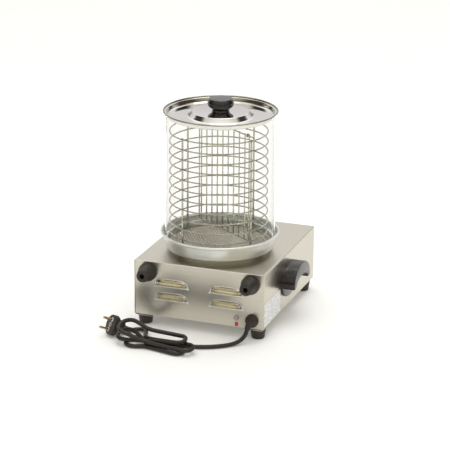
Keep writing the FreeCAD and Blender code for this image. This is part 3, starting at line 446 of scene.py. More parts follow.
def gold_hood_painted_shadow():
    """Steel, grey where the hood meets the panel and gold in the middle, with a dark brown band
    between: a painted shadow round the gold.
    """
    look = Look("gold_hood_painted_shadow", (0.5, 0.42, 0.2), metallic=1.0, roughness=0.3)
    edge = look.node("ShaderNodeAttribute", attribute_name="gold_and_shadow_mask")
    cloud = look.noise(look.place((1, 1, 3)), 60.0, 4.0)
    both = look.math("MULTIPLY_ADD", cloud, 0.05, edge.outputs["Fac"])
    look.colour_by(both, (0.08, (0.46, 0.43, 0.36)), (0.20, (0.30, 0.25, 0.15)),
                   (0.55, (0.46, 0.39, 0.22)), (1.0, (0.60, 0.53, 0.34)))
    look.rough_by(cloud, 0.22, 0.34)
    return look.material


def perforated_sheet():
    """Dull sheet, stained in clouds."""
    look = Look("perforated_sheet", (0.50, 0.47, 0.39), metallic=1.0, roughness=0.4)
    cloud = look.noise(look.place(), 30.0, 4.0)
    fine = look.noise(look.place(), 900.0, 3.0)
    look.colour_by(cloud, (0.3, (0.44, 0.41, 0.34)), (0.7, (0.56, 0.525, 0.44)))
    look.rough_by(cloud, 0.32, 0.5)
    look.bump_by(fine, 0.00008, 0.5)
    return look.material


RULE_PITCH = 0.0042
RULE_WIDTH = 0.001


def ruled_label():
    """Blank film with faint grey rules and no lettering."""
    look = Look("ruled_label", (0.82, 0.82, 0.82), roughness=0.4)
    beat = look.math("PINGPONG", look.height(look.place()), RULE_PITCH / 2)
    line = look.math("LESS_THAN", beat, RULE_WIDTH / 2)
    breaks = look.noise(look.place((1, 90, 240)), 1.0, 1.0)
    both = look.math("MULTIPLY", line, look.math("GREATER_THAN", breaks, 0.47))
    look.colour_by(both, (0.0, (0.93, 0.93, 0.94)), (1.0, (0.34, 0.34, 0.37)))
    return look.material


STEEL = (0.62, 0.585, 0.505)
PANEL_LEAN = 0.12        # slope of the sheet's slight bulge, which turns its reflections down


def rear_panel_sheet():
    """Satin sheet brushed along X, bulged a little so that it mirrors the floor close behind it."""
    look = Look("satin_panel", STEEL, metallic=1.0, roughness=0.22)
    streaks = look.noise(look.place((14, 900, 900)), 1.0, 8.0, 0.7)
    clouds = look.noise(look.place(), 9.0, 3.0)
    look.colour_by(streaks, (0.25, tint(STEEL, 0.92)), (0.75, tint(STEEL, 1.08)))
    look.rough_by(clouds, 0.25, 0.32)
    bulge = look.bump_by(look.height(look.place()), PANEL_LEAN)
    look.bump_by(streaks, 0.00002, 0.35, below=bulge)
    return look.material


looks = {
    "stainless": brushed("satin_sheet", STEEL, (900, 14, 900), (0.25, 0.34)),
    "rear_sheet": rear_panel_sheet(),
    "vent_gold": gold_hood_painted_shadow(),
    # much lighter than the sheet: a painted highlight for the bent edges of the housing and the vents
    "painted_highlight_edge": brushed("painted_highlight_edge", (0.86, 0.85, 0.81), (60, 60, 60), (0.25, 0.4)),
    "rubber": moulded("rubber", (0.034, 0.028, 0.023), (0.42, 0.58), 900, 0.00006, gloss=0.4),
    "zinc": brushed("zinc_plate", (0.46, 0.44, 0.41), (300, 300, 300), (0.2, 0.34)),
    "red_mark": moulded("red_tab", (0.60, 0.035, 0.03), (0.4, 0.5), 700, 0.00003),
    "label": ruled_label(),
    "handle_plastic": moulded("thermoset", (0.016, 0.012, 0.011), (0.14, 0.22), 300, 0.00003,
                              coat=0.25, gloss=0.35),
    # much darker than the sheet: painted shade in the gap under the pan
    "dark_gasket": brushed("collar_painted_shade", (0.40, 0.375, 0.32), (60, 60, 900), (0.32, 0.42)),
    "aluminium": spun("spun_aluminium", (0.80, 0.81, 0.785), STEAM, 2400, (0.30, 0.48), 0.00003),
    "cast_aluminium": moulded("cast_metal", (0.45, 0.45, 0.44), (0.4, 0.6), 500, 0.0001),
    "element_sheath": moulded("sheath", (0.16, 0.14, 0.12), (0.4, 0.6), 500, 0.0001),
    "mineral_wool": moulded("mineral_wool", (0.62, 0.57, 0.42), (0.85, 0.98), 350, 0.0006),
    "bakelite": moulded("bakelite", (0.07, 0.045, 0.03), (0.35, 0.5), 500, 0.00005),
    "glass": clear_glass(),
    "diffuser": perforated_sheet(),
    "wire_steel": brushed("wire", (0.49, 0.47, 0.40), (120, 120, 120), (0.10, 0.22)),
    "polished_steel": spun("mirror_steel", (0.77, 0.755, 0.735), STEAM, 900, (0.03, 0.07), 0.000002),
    # much darker and more olive than the lid's mirror steel: painted shade on the rolled bead
    "rolled_rim": spun("rolled_rim", (0.34, 0.325, 0.25), STEAM, 900, (0.08, 0.16), 0.000002),
    "black_knob": moulded("black_gloss", (0.010, 0.009, 0.009), (0.12, 0.20), 260, 0.00003,
                          coat=0.35),
    "dial": brushed("dial_sheet", (0.55, 0.54, 0.52), (200, 200, 200)),
    "copper": brushed("copper", (0.62, 0.30, 0.17), (200, 200, 200)),
    "switch_black": moulded("switch_black", (0.02, 0.02, 0.02), (0.25, 0.35), 500, 0.00003),
    "rocker_red": moulded("rocker_red", (0.50, 0.02, 0.015), (0.16, 0.26), 500, 0.00002, coat=0.4),
    "lamp_red": moulded("lamp_red", (0.60, 0.03, 0.02), (0.10, 0.2), 500, 0.00002, coat=0.6),
    "terminal_white": moulded("terminal_white", (0.72, 0.70, 0.64), (0.45, 0.6), 500, 0.00004),
    "wire_sleeve": moulded("wire_sleeve", (0.50, 0.14, 0.06), (0.5, 0.65), 500, 0.00005),
    "cord_rubber": moulded("cord_sheath", (0.026, 0.021, 0.017), (0.28, 0.40), 700, 0.00005,
                           gloss=0.4),
    "tie_black": moulded("tie", (0.02, 0.02, 0.02), (0.3, 0.45), 700, 0.00004),
    "plug_rubber": moulded("plug_rubber", (0.024, 0.019, 0.016), (0.38, 0.52), 800, 0.00006,
                           gloss=0.4),
    "plug_insert": moulded("plug_insert", (0.78, 0.76, 0.70), (0.35, 0.5), 500, 0.00003),
    "brass": brushed("bright_pin", (0.66, 0.55, 0.36), (200, 200, 200), (0.14, 0.26)),
}


def dress_cad():
    """Gives every CAD node the material of its slot, with soft shading on its curved faces."""
    slots = {s["node"]: s["material_slot"] for s in frame["record"]["subparts"]}
    for name, piece in frame["nodes"].items():
        piece.data.materials.clear()
        piece.data.materials.append(looks[slots[name]])
        piece.data.shade_smooth()
        piece.data.set_sharp_from_angle(angle=math.radians(30))


# ---- glass, pan, diffuser and lid ----
def make_glass():
    """The glass cylinder, its two rims eased."""
    low, high, out, wall = glass_low.z / MM, glass_high.z / MM, GLASS_R / MM, 3.0
    outline = [(out, low, 1.0), (out, high, 1.1), (out - wall, high, 1.1), (out - wall, low, 1.0)]
    add("glass", lathe("glass", outline, segments=220), "glass", "glass", ["glass_cylinder"])


def make_pan():
    """A spun pan: rounded foot, flared wall with a shallow step, and a rim rolled outwards."""
    low, high, rim = pan_low.z / MM, pan_high.z / MM, (pan_high.x - pan_low.x) / 2 / MM
    foot = rim - 9.3
    t = 1.6
    outline = [(0, low), (foot - 1, low, 6.5), (foot + 2.4, low + 12.5, 9), (rim - 4.2, high - 6.6, 4),
               (rim - 2.6, high - 4.4, 1.6), (rim - 0.3, high - 4.2, 1.4), (rim, high - 1.2, 1.5),
               (rim - 1.8, high, 1.5), (rim - 4.0, high - 1.2, 1.8), (rim - 5.6, high - 5.6, 4),
               (foot + 0.9, low + 13, 9), (foot - 2.6, low + t, 5), (0, low + t)]
    add("pan", lathe("pan", outline, segments=220), "box", "aluminium", ["water_pan"])


HOLE_PITCH = 5.6
HOLE_R = 1.55


def make_diffuser():
    """A perforated disc: staggered rows of small holes inside a plain border."""
    radius = (diffuser_high.x - diffuser_low.x) / 2 / MM
    border = evenly_round(0, 0, radius, 160)
    holes = []
    rows = int(radius / (HOLE_PITCH * 0.866))
    for row in range(-rows, rows + 1):
        y = row * HOLE_PITCH * 0.866
        for step in range(-40, 41):
            x = (step + 0.5 * (row % 2)) * HOLE_PITCH
            if math.hypot(x, y) < radius - 4.5:
                holes.append(evenly_round(x, y, HOLE_R, 6))
    mesh = slab("diffuser", border, (diffuser_high.z - diffuser_low.z) / MM,
                Vector((STEAM.x, STEAM.y, diffuser_low.z)), (SIDE, BACK, UP), holes)
    add("diffuser", mesh, "diffuser", "aluminium", ["diffuser_plate"], looks["diffuser"])


def make_lid():
    """A pressed lid: rolled rim on the glass, a sunk mirror disc, and a raised boss under the knob."""
    rest = glass_high.z / MM
    rim, disc, boss, t = 102.8, 372.6, knob_low.z / MM, 0.8
    skin = [(0, boss), (50.6, boss, 1.6), (52.6, boss - 2.6, 1.2), (57.0, disc + 0.9, 1.2),
            (60.0, disc, 1.6), (92.8, disc, 2.0), (94.6, disc + 1.6, 1.6), (96.3, rest + t, 1.2),
            (101.4, rest + t), (101.4, rest), (96.9, rest, 0.8), (95.3, disc + 0.4, 1.6),
            (93.2, disc - t, 2.0), (59.6, disc - t, 1.6), (56.3, disc + 0.4, 1.0),
            (52.0, boss - 3.0, 1.0), (50.0, boss - t, 1.2), (0, boss - t)]
    bead = evenly_round(rim - 1.4, rest + 1.4, 1.4, 20)
    add("lid_pressing", lathe("skin", skin, segments=240, steps=6), "lid", "polished_steel", ["lid"])
    # the bead's dark olive steel is painted shade
    add("lid_rolled_rim", lathe("bead", bead, segments=240), "lid", "polished_steel",
        look=looks["rolled_rim"])


def make_lid_knob():
    """A gloss mushroom knob with a slightly domed top."""
    z, top = knob_low.z / MM, knob_high.z / MM
    outline = [(0, z), (15.8, z, 0.8), (16.2, z + 3.6, 5), (22.6, z + 9.4, 5), (24.3, z + 15.2, 6),
               (22.2, z + 21.6, 3), (20.6, z + 23.4, 2), (12.0, top - 0.25, 12), (0, top)]
    add("lid_grip", lathe("lid_grip", outline, segments=128, steps=7), "lid", "black_knob",
        ["lid_knob"])


# ---- basket and divider ----
RING_COUNT = 12
BASKET_R = 88.0
WIRE_R = 1.25
ROD_R = 1.75
ROD_ANGLE = 61.5
WELD_R = 1.75
RING_LEAN = 0.004      # the most that a ring slopes
RING_SHIFT = 0.4       # and the most that it is off the axis


def ring_height(i):
    """The height of ring i, in millimetres."""
    low = rings_low.z / MM + WIRE_R
    high = rings_high.z / MM - WIRE_R
    return low + (high - low) * i / (RING_COUNT - 1)


def make_basket():
    """Twelve hand-welded rings, none quite level, on four rods, with a weld at each crossing."""
    shake = random.Random(4)
    parts = []
    for i in range(RING_COUNT):
        lean = (shake.uniform(-1, 1) * RING_LEAN, shake.uniform(-1, 1) * RING_LEAN)
        if i in (0, RING_COUNT - 1):
            lean = (0.0, 0.0)
        shift = Vector((shake.uniform(-1, 1), shake.uniform(-1, 1), 0)) * RING_SHIFT * MM
        ring = circle(BASKET + shift, BASKET_R * MM, ring_height(i) * MM, 144, lean)
        parts.append(wire("ring", ring, WIRE_R, cyclic=True))
    inner = BASKET_R - WIRE_R - ROD_R + 0.5
    low, top = ring_height(0) - 0.6, ring_height(RING_COUNT - 1) + 1.6
    for i in range(4):
        a = math.radians(ROD_ANGLE + 90 * i)
        out = Vector((math.cos(a), math.sin(a), 0))
        foot = BASKET + out * inner * MM
        parts.append(wire("rod", [foot + UP * z * MM for z in (low, (low + top) / 2, top)], ROD_R))
        for k in range(RING_COUNT):
            spot = BASKET + out * (inner + 1.7) * MM
            bead = bmesh.new()
            bmesh.ops.create_icosphere(bead, subdivisions=2, radius=WELD_R * MM)
            bmesh.ops.scale(bead, verts=bead.verts, vec=(0.9, 0.9, 0.8))
            bmesh.ops.translate(bead, verts=bead.verts, vec=spot + UP * ring_height(k) * MM)
            parts.append(finished("weld", bead))
    add("basket", merged("basket", parts), "basket", "wire_steel", ["basket_rings", "basket_rods"])


GRID_ANGLE = 144.6
GRID_OFFSET = 11.0                # of its plane from the basket's axis
# where its uprights stand
GRID_PLACES = [-81.0] + [-6.0 + 17.0 * (i - 4) for i in range(9)] + [75.0]
GRID_BARS = (158.0, 351.0)
BAR_REACH = 83.2                  # from the basket's axis to an end of the low bar
HOOK_AT = 91.0                    # from the grid's middle to a hook's outer leg
HOOK_DROP = 12.0
UPRIGHT_ASIDE = 1.9               # the uprights lie against the bars
KNOT_AT = 70.0                    # where the hooked bar's end is wound round it


def make_divider():
    """The grid across the basket: eleven uprights, a low bar, and a top bar hooked over the ring."""
    turn = math.radians(GRID_ANGLE)
    along = Vector((math.cos(turn), math.sin(turn), 0))
    across = Vector((-along.y, along.x, 0))
    middle = BASKET + across * GRID_OFFSET * MM
    low, high = GRID_BARS

    def at(place, z, aside=0.0):
        """A point of the grid: its place along it, its height, and how far it is off its plane."""
        return middle + along * place * MM + across * aside * MM + UP * z * MM

    half = math.sqrt(BAR_REACH ** 2 - GRID_OFFSET ** 2)
    parts = [wire("bar", [at(-half, low), at(0, low), at(half, low)], WIRE_R)]
    hook = []
    for side in (-1, 1):
        end = [at(side * HOOK_AT, high - HOOK_DROP), at(side * HOOK_AT, high - 7.0),
               at(side * HOOK_AT, high - 2.0), at(side * (HOOK_AT - 0.6), high),
               at(side * (HOOK_AT - 4.0), high + 0.2), at(side * (HOOK_AT - 12.0), high)]
        hook += end if side < 0 else end[::-1]
    parts.append(wire("hook", hook, WIRE_R, smooth=True))
    for place in GRID_PLACES:
        foot = at(place, low - 1.6, UPRIGHT_ASIDE)
        head = at(place, high + 1.2, UPRIGHT_ASIDE)
        parts.append(wire("upright", [foot, (foot + head) / 2, head], WIRE_R))
    knot = []
    for k in range(25):
        a = 2 * math.pi * k / 16
        knot.append(at(KNOT_AT + 3.4 * k / 24, high + 2.5 * math.cos(a), 0.7 + 2.4 * math.sin(a)))
    parts.append(wire("knot", knot, 1.1))
    add("divider_grid", merged("divider_grid", parts), "divider", "wire_steel", ["basket_divider"])


# ---- housing's rear panel ----
def make_edge_lip():
    """The housing's rolled rear edge, over the rear panel, in a steel much lighter than the sheet: a
    painted highlight along the edge.
    """
    half = (shell_high.x - shell_low.x) / 2 / MM - 4.0
    y, z = shell_high.y / MM - 0.3, shell_high.z / MM - 0.9
    run = [mm(-half, y, z), mm(-half / 3, y, z), mm(half / 3, y, z), mm(half, y, z)]
    add("rear_edge_lip", wire("rear_edge_lip", run, 0.75), "box", "stainless",
        look=looks["painted_highlight_edge"])


VENT_X = 52.0
VENT_LIPS = (53.0, 78.5)
VENT_W = 66.0
VENT_OUT = 5.5
BODY_W = 29.0          # half the length of a hood's tinted body
BODY_H = 12.2
BODY_LOW = 0.5         # the body's lower edge above the lip's line
BODY_ROUND = 0.34
TAN_HALF = (0.84, 0.86)     # how far along and up a hood its tint reaches


def vent_outline(x, lip, steps=14):
    """A vent's opening in the panel: a slot with round ends, a little larger than its hood."""
    r = BODY_H / 2 + 0.4
    points = []
    for end, start in ((1, -math.pi / 2), (-1, math.pi / 2)):
        for k in range(steps + 1):
            a = start + math.pi * k / steps
            points.append((x + end * (BODY_W + 0.6 - r) + r * math.cos(a),
                           lip + BODY_LOW + BODY_H / 2 + r * math.sin(a)))
    return points


def make_rear_sheet():
    """The rear panel's flat sheet, open where the four vents are pressed out of it."""
    w = (rear_high.x - rear_low.x) / 2 / MM
    low, high, r = rear_low.z / MM, rear_high.z / MM, 2.0
    outline = [(-w, low), (w, low), (w, high - r), (w - r, high), (r - w, high), (-w, high - r)]
    holes = [vent_outline(x, lip) for x in (-VENT_X, VENT_X) for lip in VENT_LIPS]
    mesh = slab("rear_sheet", outline, 1.0, Vector((MIDDLE, REAR_FACE - 1.0 * MM, 0)),
                (SIDE, UP, BACK), holes)
    add("rear_sheet", mesh, "box", "stainless", ["rear_panel"], looks["rear_sheet"])


def make_vent(name, x, lip):
    """One pressed hood: a long round-ended body over its slot, gold in the middle and darker at its
    edges, where a dark brown band is a painted shadow.
    """
    work = bmesh.new()
    columns, rows = 56, 16
    shade = []
    grid = []
    for i in range(columns + 1):
        u = math.sin(math.pi / 2 * (-1 + 2 * i / columns))
        row = []
        for k in range(rows + 1):
            v = math.sin(math.pi / 2 * (-1 + 2 * k / rows))
            bulge = max(0.0, 1 - v * v)
            side = BODY_W * u * (1 - BODY_ROUND * (1 - math.sqrt(bulge)))
            z = BODY_LOW + BODY_H * (0.5 + 0.5 * v)
            rise = max(0.0, 1 - abs(u) ** 6) ** 0.5 * max(0.0, 1 - abs(v) ** 3) ** 0.6
            tuck = 0.12 * (0.5 - 0.5 * v)
            y = REAR_FACE / MM + VENT_OUT * rise * (0.88 + tuck) - 0.2
            row.append(work.verts.new(mm(x + side, y, lip + z)))
            shade.append(max(0.0, 1 - (abs(u) / TAN_HALF[0]) ** 4 - (abs(v + 0.1) / TAN_HALF[1]) ** 4))
        grid.append(row)
    for i in range(columns):
        for k in range(rows):
            work.faces.new((grid[i][k], grid[i + 1][k], grid[i + 1][k + 1], grid[i][k + 1]))
    work.normal_update()
    if sum(face.normal.y for face in work.faces) < 0:
        bmesh.ops.reverse_faces(work, faces=work.faces)
    mesh = finished(name, work)
    # a mask from the hood's edges (0) to its middle (1), by which the material paints grey steel, a
    # painted shadow band and gold
    mask_of = mesh.color_attributes.new("gold_and_shadow_mask", "FLOAT_COLOR", "POINT")
    for point, value in zip(mask_of.data, shade):
        point.color = (value, value, value, 1)
    add(name, mesh, "box", "stainless", look=looks["vent_gold"], smooth=60)


def make_vent_rim(name, x, lip):
    """A painted highlight round a hood, in steel much lighter than the panel: over its top, down to two
    small feet, and along its lip.
    """
    def at(side, z, out):
        """A point beside the hood's middle, above its lip's line and out from the panel."""
        return mm(x + side, REAR_FACE / MM + out, lip + z)

    arch = [at(-VENT_W / 2, 0.3, 0.5), at(-VENT_W / 2 + 2.0, 0.6, 0.8)]
    for k in range(25):
        a = math.pi * (1 - k / 24)
        side = math.copysign(abs(math.cos(a)) ** 0.5, math.cos(a)) * (BODY_W + 1.2)
        arch.append(at(side, BODY_LOW + 0.6 + (BODY_H + 0.4) * math.sin(a) ** 0.6, 0.4))
    arch += [at(VENT_W / 2 - 2.0, 0.6, 0.8), at(VENT_W / 2, 0.3, 0.5)]
    sill = [at(side, 0.4 + 0.8 * (abs(side) / BODY_W) ** 6, 2.6 - 2.0 * (abs(side) / BODY_W) ** 8)
            for side in (-BODY_W, -0.92 * BODY_W, -0.7 * BODY_W, 0.0, 0.7 * BODY_W, 0.92 * BODY_W,
                         BODY_W)]
    feet = []
    for side in (-1, 1):
        feet.append(wire("foot", [at(side * (VENT_W / 2 - 5.0), -0.2, 0.7),
                                  at(side * (VENT_W / 2 - 2.5), -0.4, 1.0),
                                  at(side * VENT_W / 2, -0.5, 0.7)], 1.0))
    parts = [wire("arch", arch, 0.75, smooth=True), wire("sill", sill, 1.1, smooth=True)] + feet
    add(name, merged(name, parts), "box", "stainless", look=looks["painted_highlight_edge"])


# ---- rubber and plastic furniture ----
def make_foot(name):
    """A tapered rubber foot, hollow below for its screw."""
    spot = on_floor(*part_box(name))
    outline = [(0, 7.5), (5.2, 7.5), (5.2, 0.0, 0.6), (11.4, 0.0, 1.4), (13.9, 16.6, 1.2),
               (13.9, 18.0, 0.3), (0, 18.0)]
    add(name + "_rubber", lathe(name, outline, spot, 72), "box", "rubber", [name])


def make_bumper(name):
    """A rubber cone that keeps the housing off a wall, with a well for its screw."""
    low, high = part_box(name)
    spot = Vector(((low.x + high.x) / 2, REAR_FACE, (low.z + high.z) / 2))
    reach = (high.y - REAR_FACE) / MM
    outline = [(0, 12.0), (4.6, 12.0), (4.6, reach, 0.9), (10.6, reach, 2.6), (13.4, reach - 12, 4),
               (15.4, 8.6, 2.5), (16.8, 6.2, 1.8), (16.8, 0, 0.6), (0, 0)]
    add(name + "_rubber", lathe(name, outline, spot, 96, BACK), "box", "rubber", [name])


def make_bumper_screws():
    """Two screws, each with a small round recess in its head, at the bottom of the bumpers' wells."""
    low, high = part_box("bumper_screws")
    core, head = 2.1, 4.2
    parts = []
    for x in (low.x + head * MM, high.x - head * MM):
        spot = Vector((x, REAR_FACE, (low.z + high.z) / 2))
        shank = [(0, -7), (core, -7, 0.4), (core, 12), (head, 12), (head, 13.4, 1.0), (2.6, 15.0, 1.6),
                 (0.9, 15.0), (0.9, 13.9), (0, 13.9)]
        nut = [(core, -4.2), (3.8, -4.2, 0.4), (3.8, -1.0, 0.4), (core, -1.0)]
        parts.append(lathe("shank", shank, spot, 48, BACK))
        parts.append(lathe("nut", nut, spot, 6, BACK))
    add("bumper_screw_pair", merged("bumper_screw_pair", parts), "box", "zinc", ["bumper_screws"],
        smooth=40)


GRIP_LOW = 68.0                  # lower end of the grip's two legs
GRIP_GAP = (10.0, 34.0, 14.7)    # the finger gap's middle, half width and height


def ellipse_arc(y, z, a, b, start, end, steps):
    """Points on an ellipse between two angles in degrees."""
    points = []
    for k in range(steps + 1):
        t = math.radians(start + (end - start) * k / steps)
        points.append((y + a * math.cos(t), z + b * math.sin(t)))
    return points


def make_handle():
    """An oval moulding: a thin plate on the wall, and a half-moon grip that stands out over it."""
    low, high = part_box("side_handle")
    y, z = (low.y + high.y) / 2 / MM, (low.z + high.z) / 2 / MM
    a, b = (high.y - low.y) / 2 / MM, (high.z - low.z) / 2 / MM
    reach = (high.x - low.x) / MM
    wall = SIDE * high.x
    axes = (BACK, UP, -SIDE)
    plate = slab("plate", ellipse_arc(y, z, a, b, 0, 355, 71), 5.0, wall, axes, round_by=1.8)
    cut = math.degrees(math.asin((GRIP_LOW - z) / b))
    rim = ellipse_arc(y, z, a, b, cut, 180 - cut, 48)
    gap = ellipse_arc(GRIP_GAP[0], GRIP_LOW, GRIP_GAP[1], GRIP_GAP[2], 180, 0, 40)
    grip = slab("grip", rim + gap, reach, wall, axes, round_by=4.2, round_steps=6)
    add("handle_moulding", merged("handle_moulding", [plate, grip]), "box", "handle_plastic",
        ["side_handle"])


# ---- gland, lead, tie and plug ----
GLAND = mm(-100, 0, 35) + BACK * REAR_FACE
NOSE_START = 8.0                 # how far behind the panel the nose begins to bend
NOSE_BEND = 12.0
NOSE_TURN = math.radians(75.0)
NOSE_SWING = math.radians(12.0)


def nose_point(turned):
    """Where the gland's nose is once it has turned down by an angle."""
    drop = NOSE_BEND * (1 - math.cos(turned))
    reach = NOSE_START + NOSE_BEND * math.sin(turned)
    return GLAND + Vector((drop * math.sin(NOSE_SWING), reach, -drop * math.cos(NOSE_SWING))) * MM


def make_gland():
    """A domed rubber collar and a ribbed nose that bends down with the lead."""
    dome = lathe("dome", [(0, -9), (6.8, -9, 0.5), (6.8, 0), (12, 0), (12, 2.8, 1.4),
                          (9.6, 6.9, 3.5), (6.5, 8.6, 1.0), (0, 8.6)], GLAND, 72, BACK)
    verts = []
    faces = []
    rows, sides = 36, 32
    for i in range(rows + 1):
        t = i / rows
        a = NOSE_TURN * t
        centre = nose_point(a)
        aim = (nose_point(a + 0.01) - centre).normalized()
        level = aim.cross(SIDE).normalized()
        other = aim.cross(level)
        rib = 0.35 * (1 if math.sin(t * 5 * 2 * math.pi) > -0.2 else -1)
        radius = (6.5 - 1.7 * t + rib) * MM
        for k in range(sides):
            b = 2 * math.pi * k / sides
            verts.append(centre + (level * math.cos(b) + other * math.sin(b)) * radius)
    for i in range(rows):
        for k in range(sides):
            n = (k + 1) % sides
            faces.append((i * sides + k, i * sides + n, (i + 1) * sides + n, (i + 1) * sides + k))
    faces.append(tuple(range(sides)))
    faces.append(tuple(rows * sides + k for k in range(sides)))
    nose = mesh_from("nose", verts, faces)
    add("gland", merged("gland", [dome, nose]), "box", "rubber", ["cable_gland"])


CORD_R = 3.8
# the lead's way along the floor, from the gland to the hank
LEAD_ROUTE = [(-96.8, 166.3, 18.8), (-93.4, 170.8, 11.8), (-87.4, 178.0, 6.4), (-78.0, 189.0, 4.0),
              (-64.5, 201.5, 4.0), (-47.0, 212.5, 4.0), (-26.0, 220.5, 4.0), (-3.0, 225.0, 4.0),
              (20.0, 228.5, 4.0), (42.0, 232.0, 4.1)]
# from the tie to the plug
TAIL_ROUTE = [(70.0, 226.0, 12.0), (76.0, 211.0, 9.5), (79.0, 197.5, 7.4), (84.0, 187.3, 6.2),
              (91.0, 181.6, 5.6), (98.8, 180.2, 5.0), (106.6, 183.2, 4.6)]
TIE = (60.0, 242.0)
TIE_HALF = (13.4, 8.1)     # half its width and height
TWIST_LOW = 13.0
TWIST_R = 0.9
# where each strand passes through the tie: its offset across the hank, and its height
STRANDS = [(-8.4, 4.2), (8.4, 4.2), (0.0, 4.2), (-0.4, 12.0), (-9.5, 29.3), (8.2, 12.6), (-8.6, 12.0)]
# the six folds: the tip's x, y and height, half the fold's width, its tilt in degrees, the side it
# starts on, and how much its first shoulder is lifted
FOLDS = [(100, 240, 4.2, 16.0, 0, 1, 0), (-11, 255, 4.3, 11.0, 0, -1, 0),
         (117, 234, 16, 15.0, -16, 1, 3.5), (-9, 235, 20.5, 12.5, -7, -1, 0),
         (114, 236, 32, 17.0, -22, 1, 0), (-27, 249, 11.6, 12.0, -6, -1, 0)]
FOLD_ANGLES = (-12, 30, 68, 112, 150, 192)     # of a fold's control points round its bend


def strand(i):
    """Where strand i passes through the tie."""
    return Vector((TIE[0], TIE[1] + STRANDS[i][0], STRANDS[i][1]))


def fold_points(i):
    """The lead's control points round fold i, with a shoulder before and after it."""
    x, y, z, half, tilt, side, lift = FOLDS[i]
    along = Vector((x - TIE[0], y - TIE[1], 0)).normalized()
    level = Vector((-along.y, along.x, 0))
    if level.y < 0:
        level = -level
    lean = math.radians(tilt)
    level = level * math.cos(lean) + UP * math.sin(lean)
    centre = Vector((x, y, z)) - along * half
    wide = half * 1.06
    arc = [centre - level * (side * math.cos(math.radians(a)) * wide)
           + along * (math.sin(math.radians(a)) * wide) for a in FOLD_ANGLES]
    first = (strand(i) + arc[0]) / 2 + UP * lift
    last = (strand(i + 1) + arc[-1]) / 2
    return [first] + arc + [last]


def plug_direction():
    """The way the plug's pins point."""
    rise, turn = math.radians(24.0), math.radians(44.0)
    return Vector((math.cos(rise) * math.cos(turn), math.cos(rise) * math.sin(turn), math.sin(rise)))


PLUG_FACE = mm(140.7, 216.1, 21.5)
PLUG_LENGTH = 42.0
PLUG_AIM = plug_direction()


def make_cord():
    """The whole lead as one smooth line: gland, floor, six folds through the tie, plug."""
    exit_point = nose_point(NOSE_TURN)
    start = (exit_point - SIDE * MIDDLE) / MM
    points = [start] + [Vector(p) for p in LEAD_ROUTE]
    for i in range(len(FOLDS)):
        points.append(strand(i))
        points += fold_points(i)
    points.append(strand(len(FOLDS)))
    points += [Vector(p) for p in TAIL_ROUTE]
    points.append((PLUG_FACE - PLUG_AIM * PLUG_LENGTH * MM - SIDE * MIDDLE) / MM)
    curve = tube("lead", [mm(*p) for p in points], CORD_R, smooth=True, sides=6, steps=8)
    curve.materials.append(looks["cord_rubber"])
    lead = placed("lead", curve)
    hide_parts("power_cord", "cord_hank", "cord_tail")
    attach(lead, "box")
    return lead, exit_point


def make_tie():
    """A black wire tie round the strands, with its two ends twisted together."""
    loop = []
    for a in range(0, 360, 15):
        t = math.radians(a)
        flat = (abs(math.cos(t)) ** 3 + abs(math.sin(t)) ** 3) ** (-1 / 3)
        loop.append(mm(TIE[0], TIE[1] + TIE_HALF[0] * flat * math.cos(t),
                       TIE_HALF[1] * (1 + flat * math.sin(t)) + 0.8))
    parts = [wire("band", loop, 0.7, cyclic=True)]
    for phase in (0, math.pi):
        twist = []
        for k in range(25):
            t = k / 24
            a = phase + t * 4 * math.pi
            twist.append(mm(TIE[0] + TWIST_R * math.cos(a), TIE[1] + TIE_HALF[0] + 5.0 * t,
                            TWIST_LOW + TWIST_R * math.sin(a) + 4.0 * t))
        parts.append(wire("twist", twist, 0.7))
    return add("tie_band", merged("tie_band", parts), "box", "tie_black", ["cord_tie"])


def make_plug():
    """The plug's moulding: bevelled head, grip that narrows in a curve, and a ribbed sleeve."""
    long = PLUG_LENGTH
    outline = [(0, 0), (4.4, 0, 0.4)]
    for i in range(5):
        low = 1.2 + 2.8 * i
        radius = 4.6 + 0.3 * i
        outline += [(radius, low, 0.3), (radius - 0.7, low + 0.3, 0.2), (radius - 0.7, low + 1.1, 0.2),
                    (radius + 0.1, low + 1.4, 0.3)]
    outline += [(6.3, 15.6, 0.8), (10.8, 16.4, 2.0), (12.4, 20.0, 4), (13.4, 27.0, 6),
                (17.6, long - 11.0, 3), (18.5, long - 9.6, 1.0), (18.5, long - 1.2, 1.1),
                (17.2, long, 0.6), (0, long)]
    start = PLUG_FACE - PLUG_AIM * long * MM
    return add("plug_moulding", lathe("plug_moulding", outline, start, 96, PLUG_AIM), "box",
               "plug_rubber", ["plug_body"])


# ---- floor, lights, camera ----
VIEW_AZIMUTH = math.radians(19.59)    # from +Y towards -X
VIEW_HEIGHT = math.radians(18.61)
VIEW_ROLL = math.radians(0.40)
VIEW_DISTANCE = 3.60078
VIEW_SHIFT = (-0.00282, -0.04131)     # of the camera, to its right and up
VIEW_AIM = Vector((MIDDLE, 0, 0.2))
VIEW_LENS = 158.24


def view_axes():
    """The camera's right, up and backward directions, then its right and up before the roll."""
    back = Vector((-math.sin(VIEW_AZIMUTH) * math.cos(VIEW_HEIGHT),
                   math.cos(VIEW_AZIMUTH) * math.cos(VIEW_HEIGHT), math.sin(VIEW_HEIGHT)))
    right = UP.cross(back).normalized()
    up = back.cross(right)
    cos, sin = math.cos(VIEW_ROLL), math.sin(VIEW_ROLL)
    return right * cos + up * sin, up * cos - right * sin, back, right, up


def make_camera():
    """A long lens behind the object, above it and round towards -X."""
    right, up, back, level, steep = view_axes()
    data = bpy.data.cameras.new("camera")
    data.lens = VIEW_LENS
    data.sensor_width = 36.0
    data.clip_end = 60.0
    camera = placed("camera", data)
    turn = Matrix((right, up, back)).transposed()
    place = VIEW_AIM + back * VIEW_DISTANCE + level * VIEW_SHIFT[0] + steep * VIEW_SHIFT[1]
    camera.matrix_world = Matrix.Translation(place) @ turn.to_4x4()
    bpy.context.scene.camera = camera


FLOOR_GLOW = 0.12      # the paper is lit from below as well, so that shadows stay faint


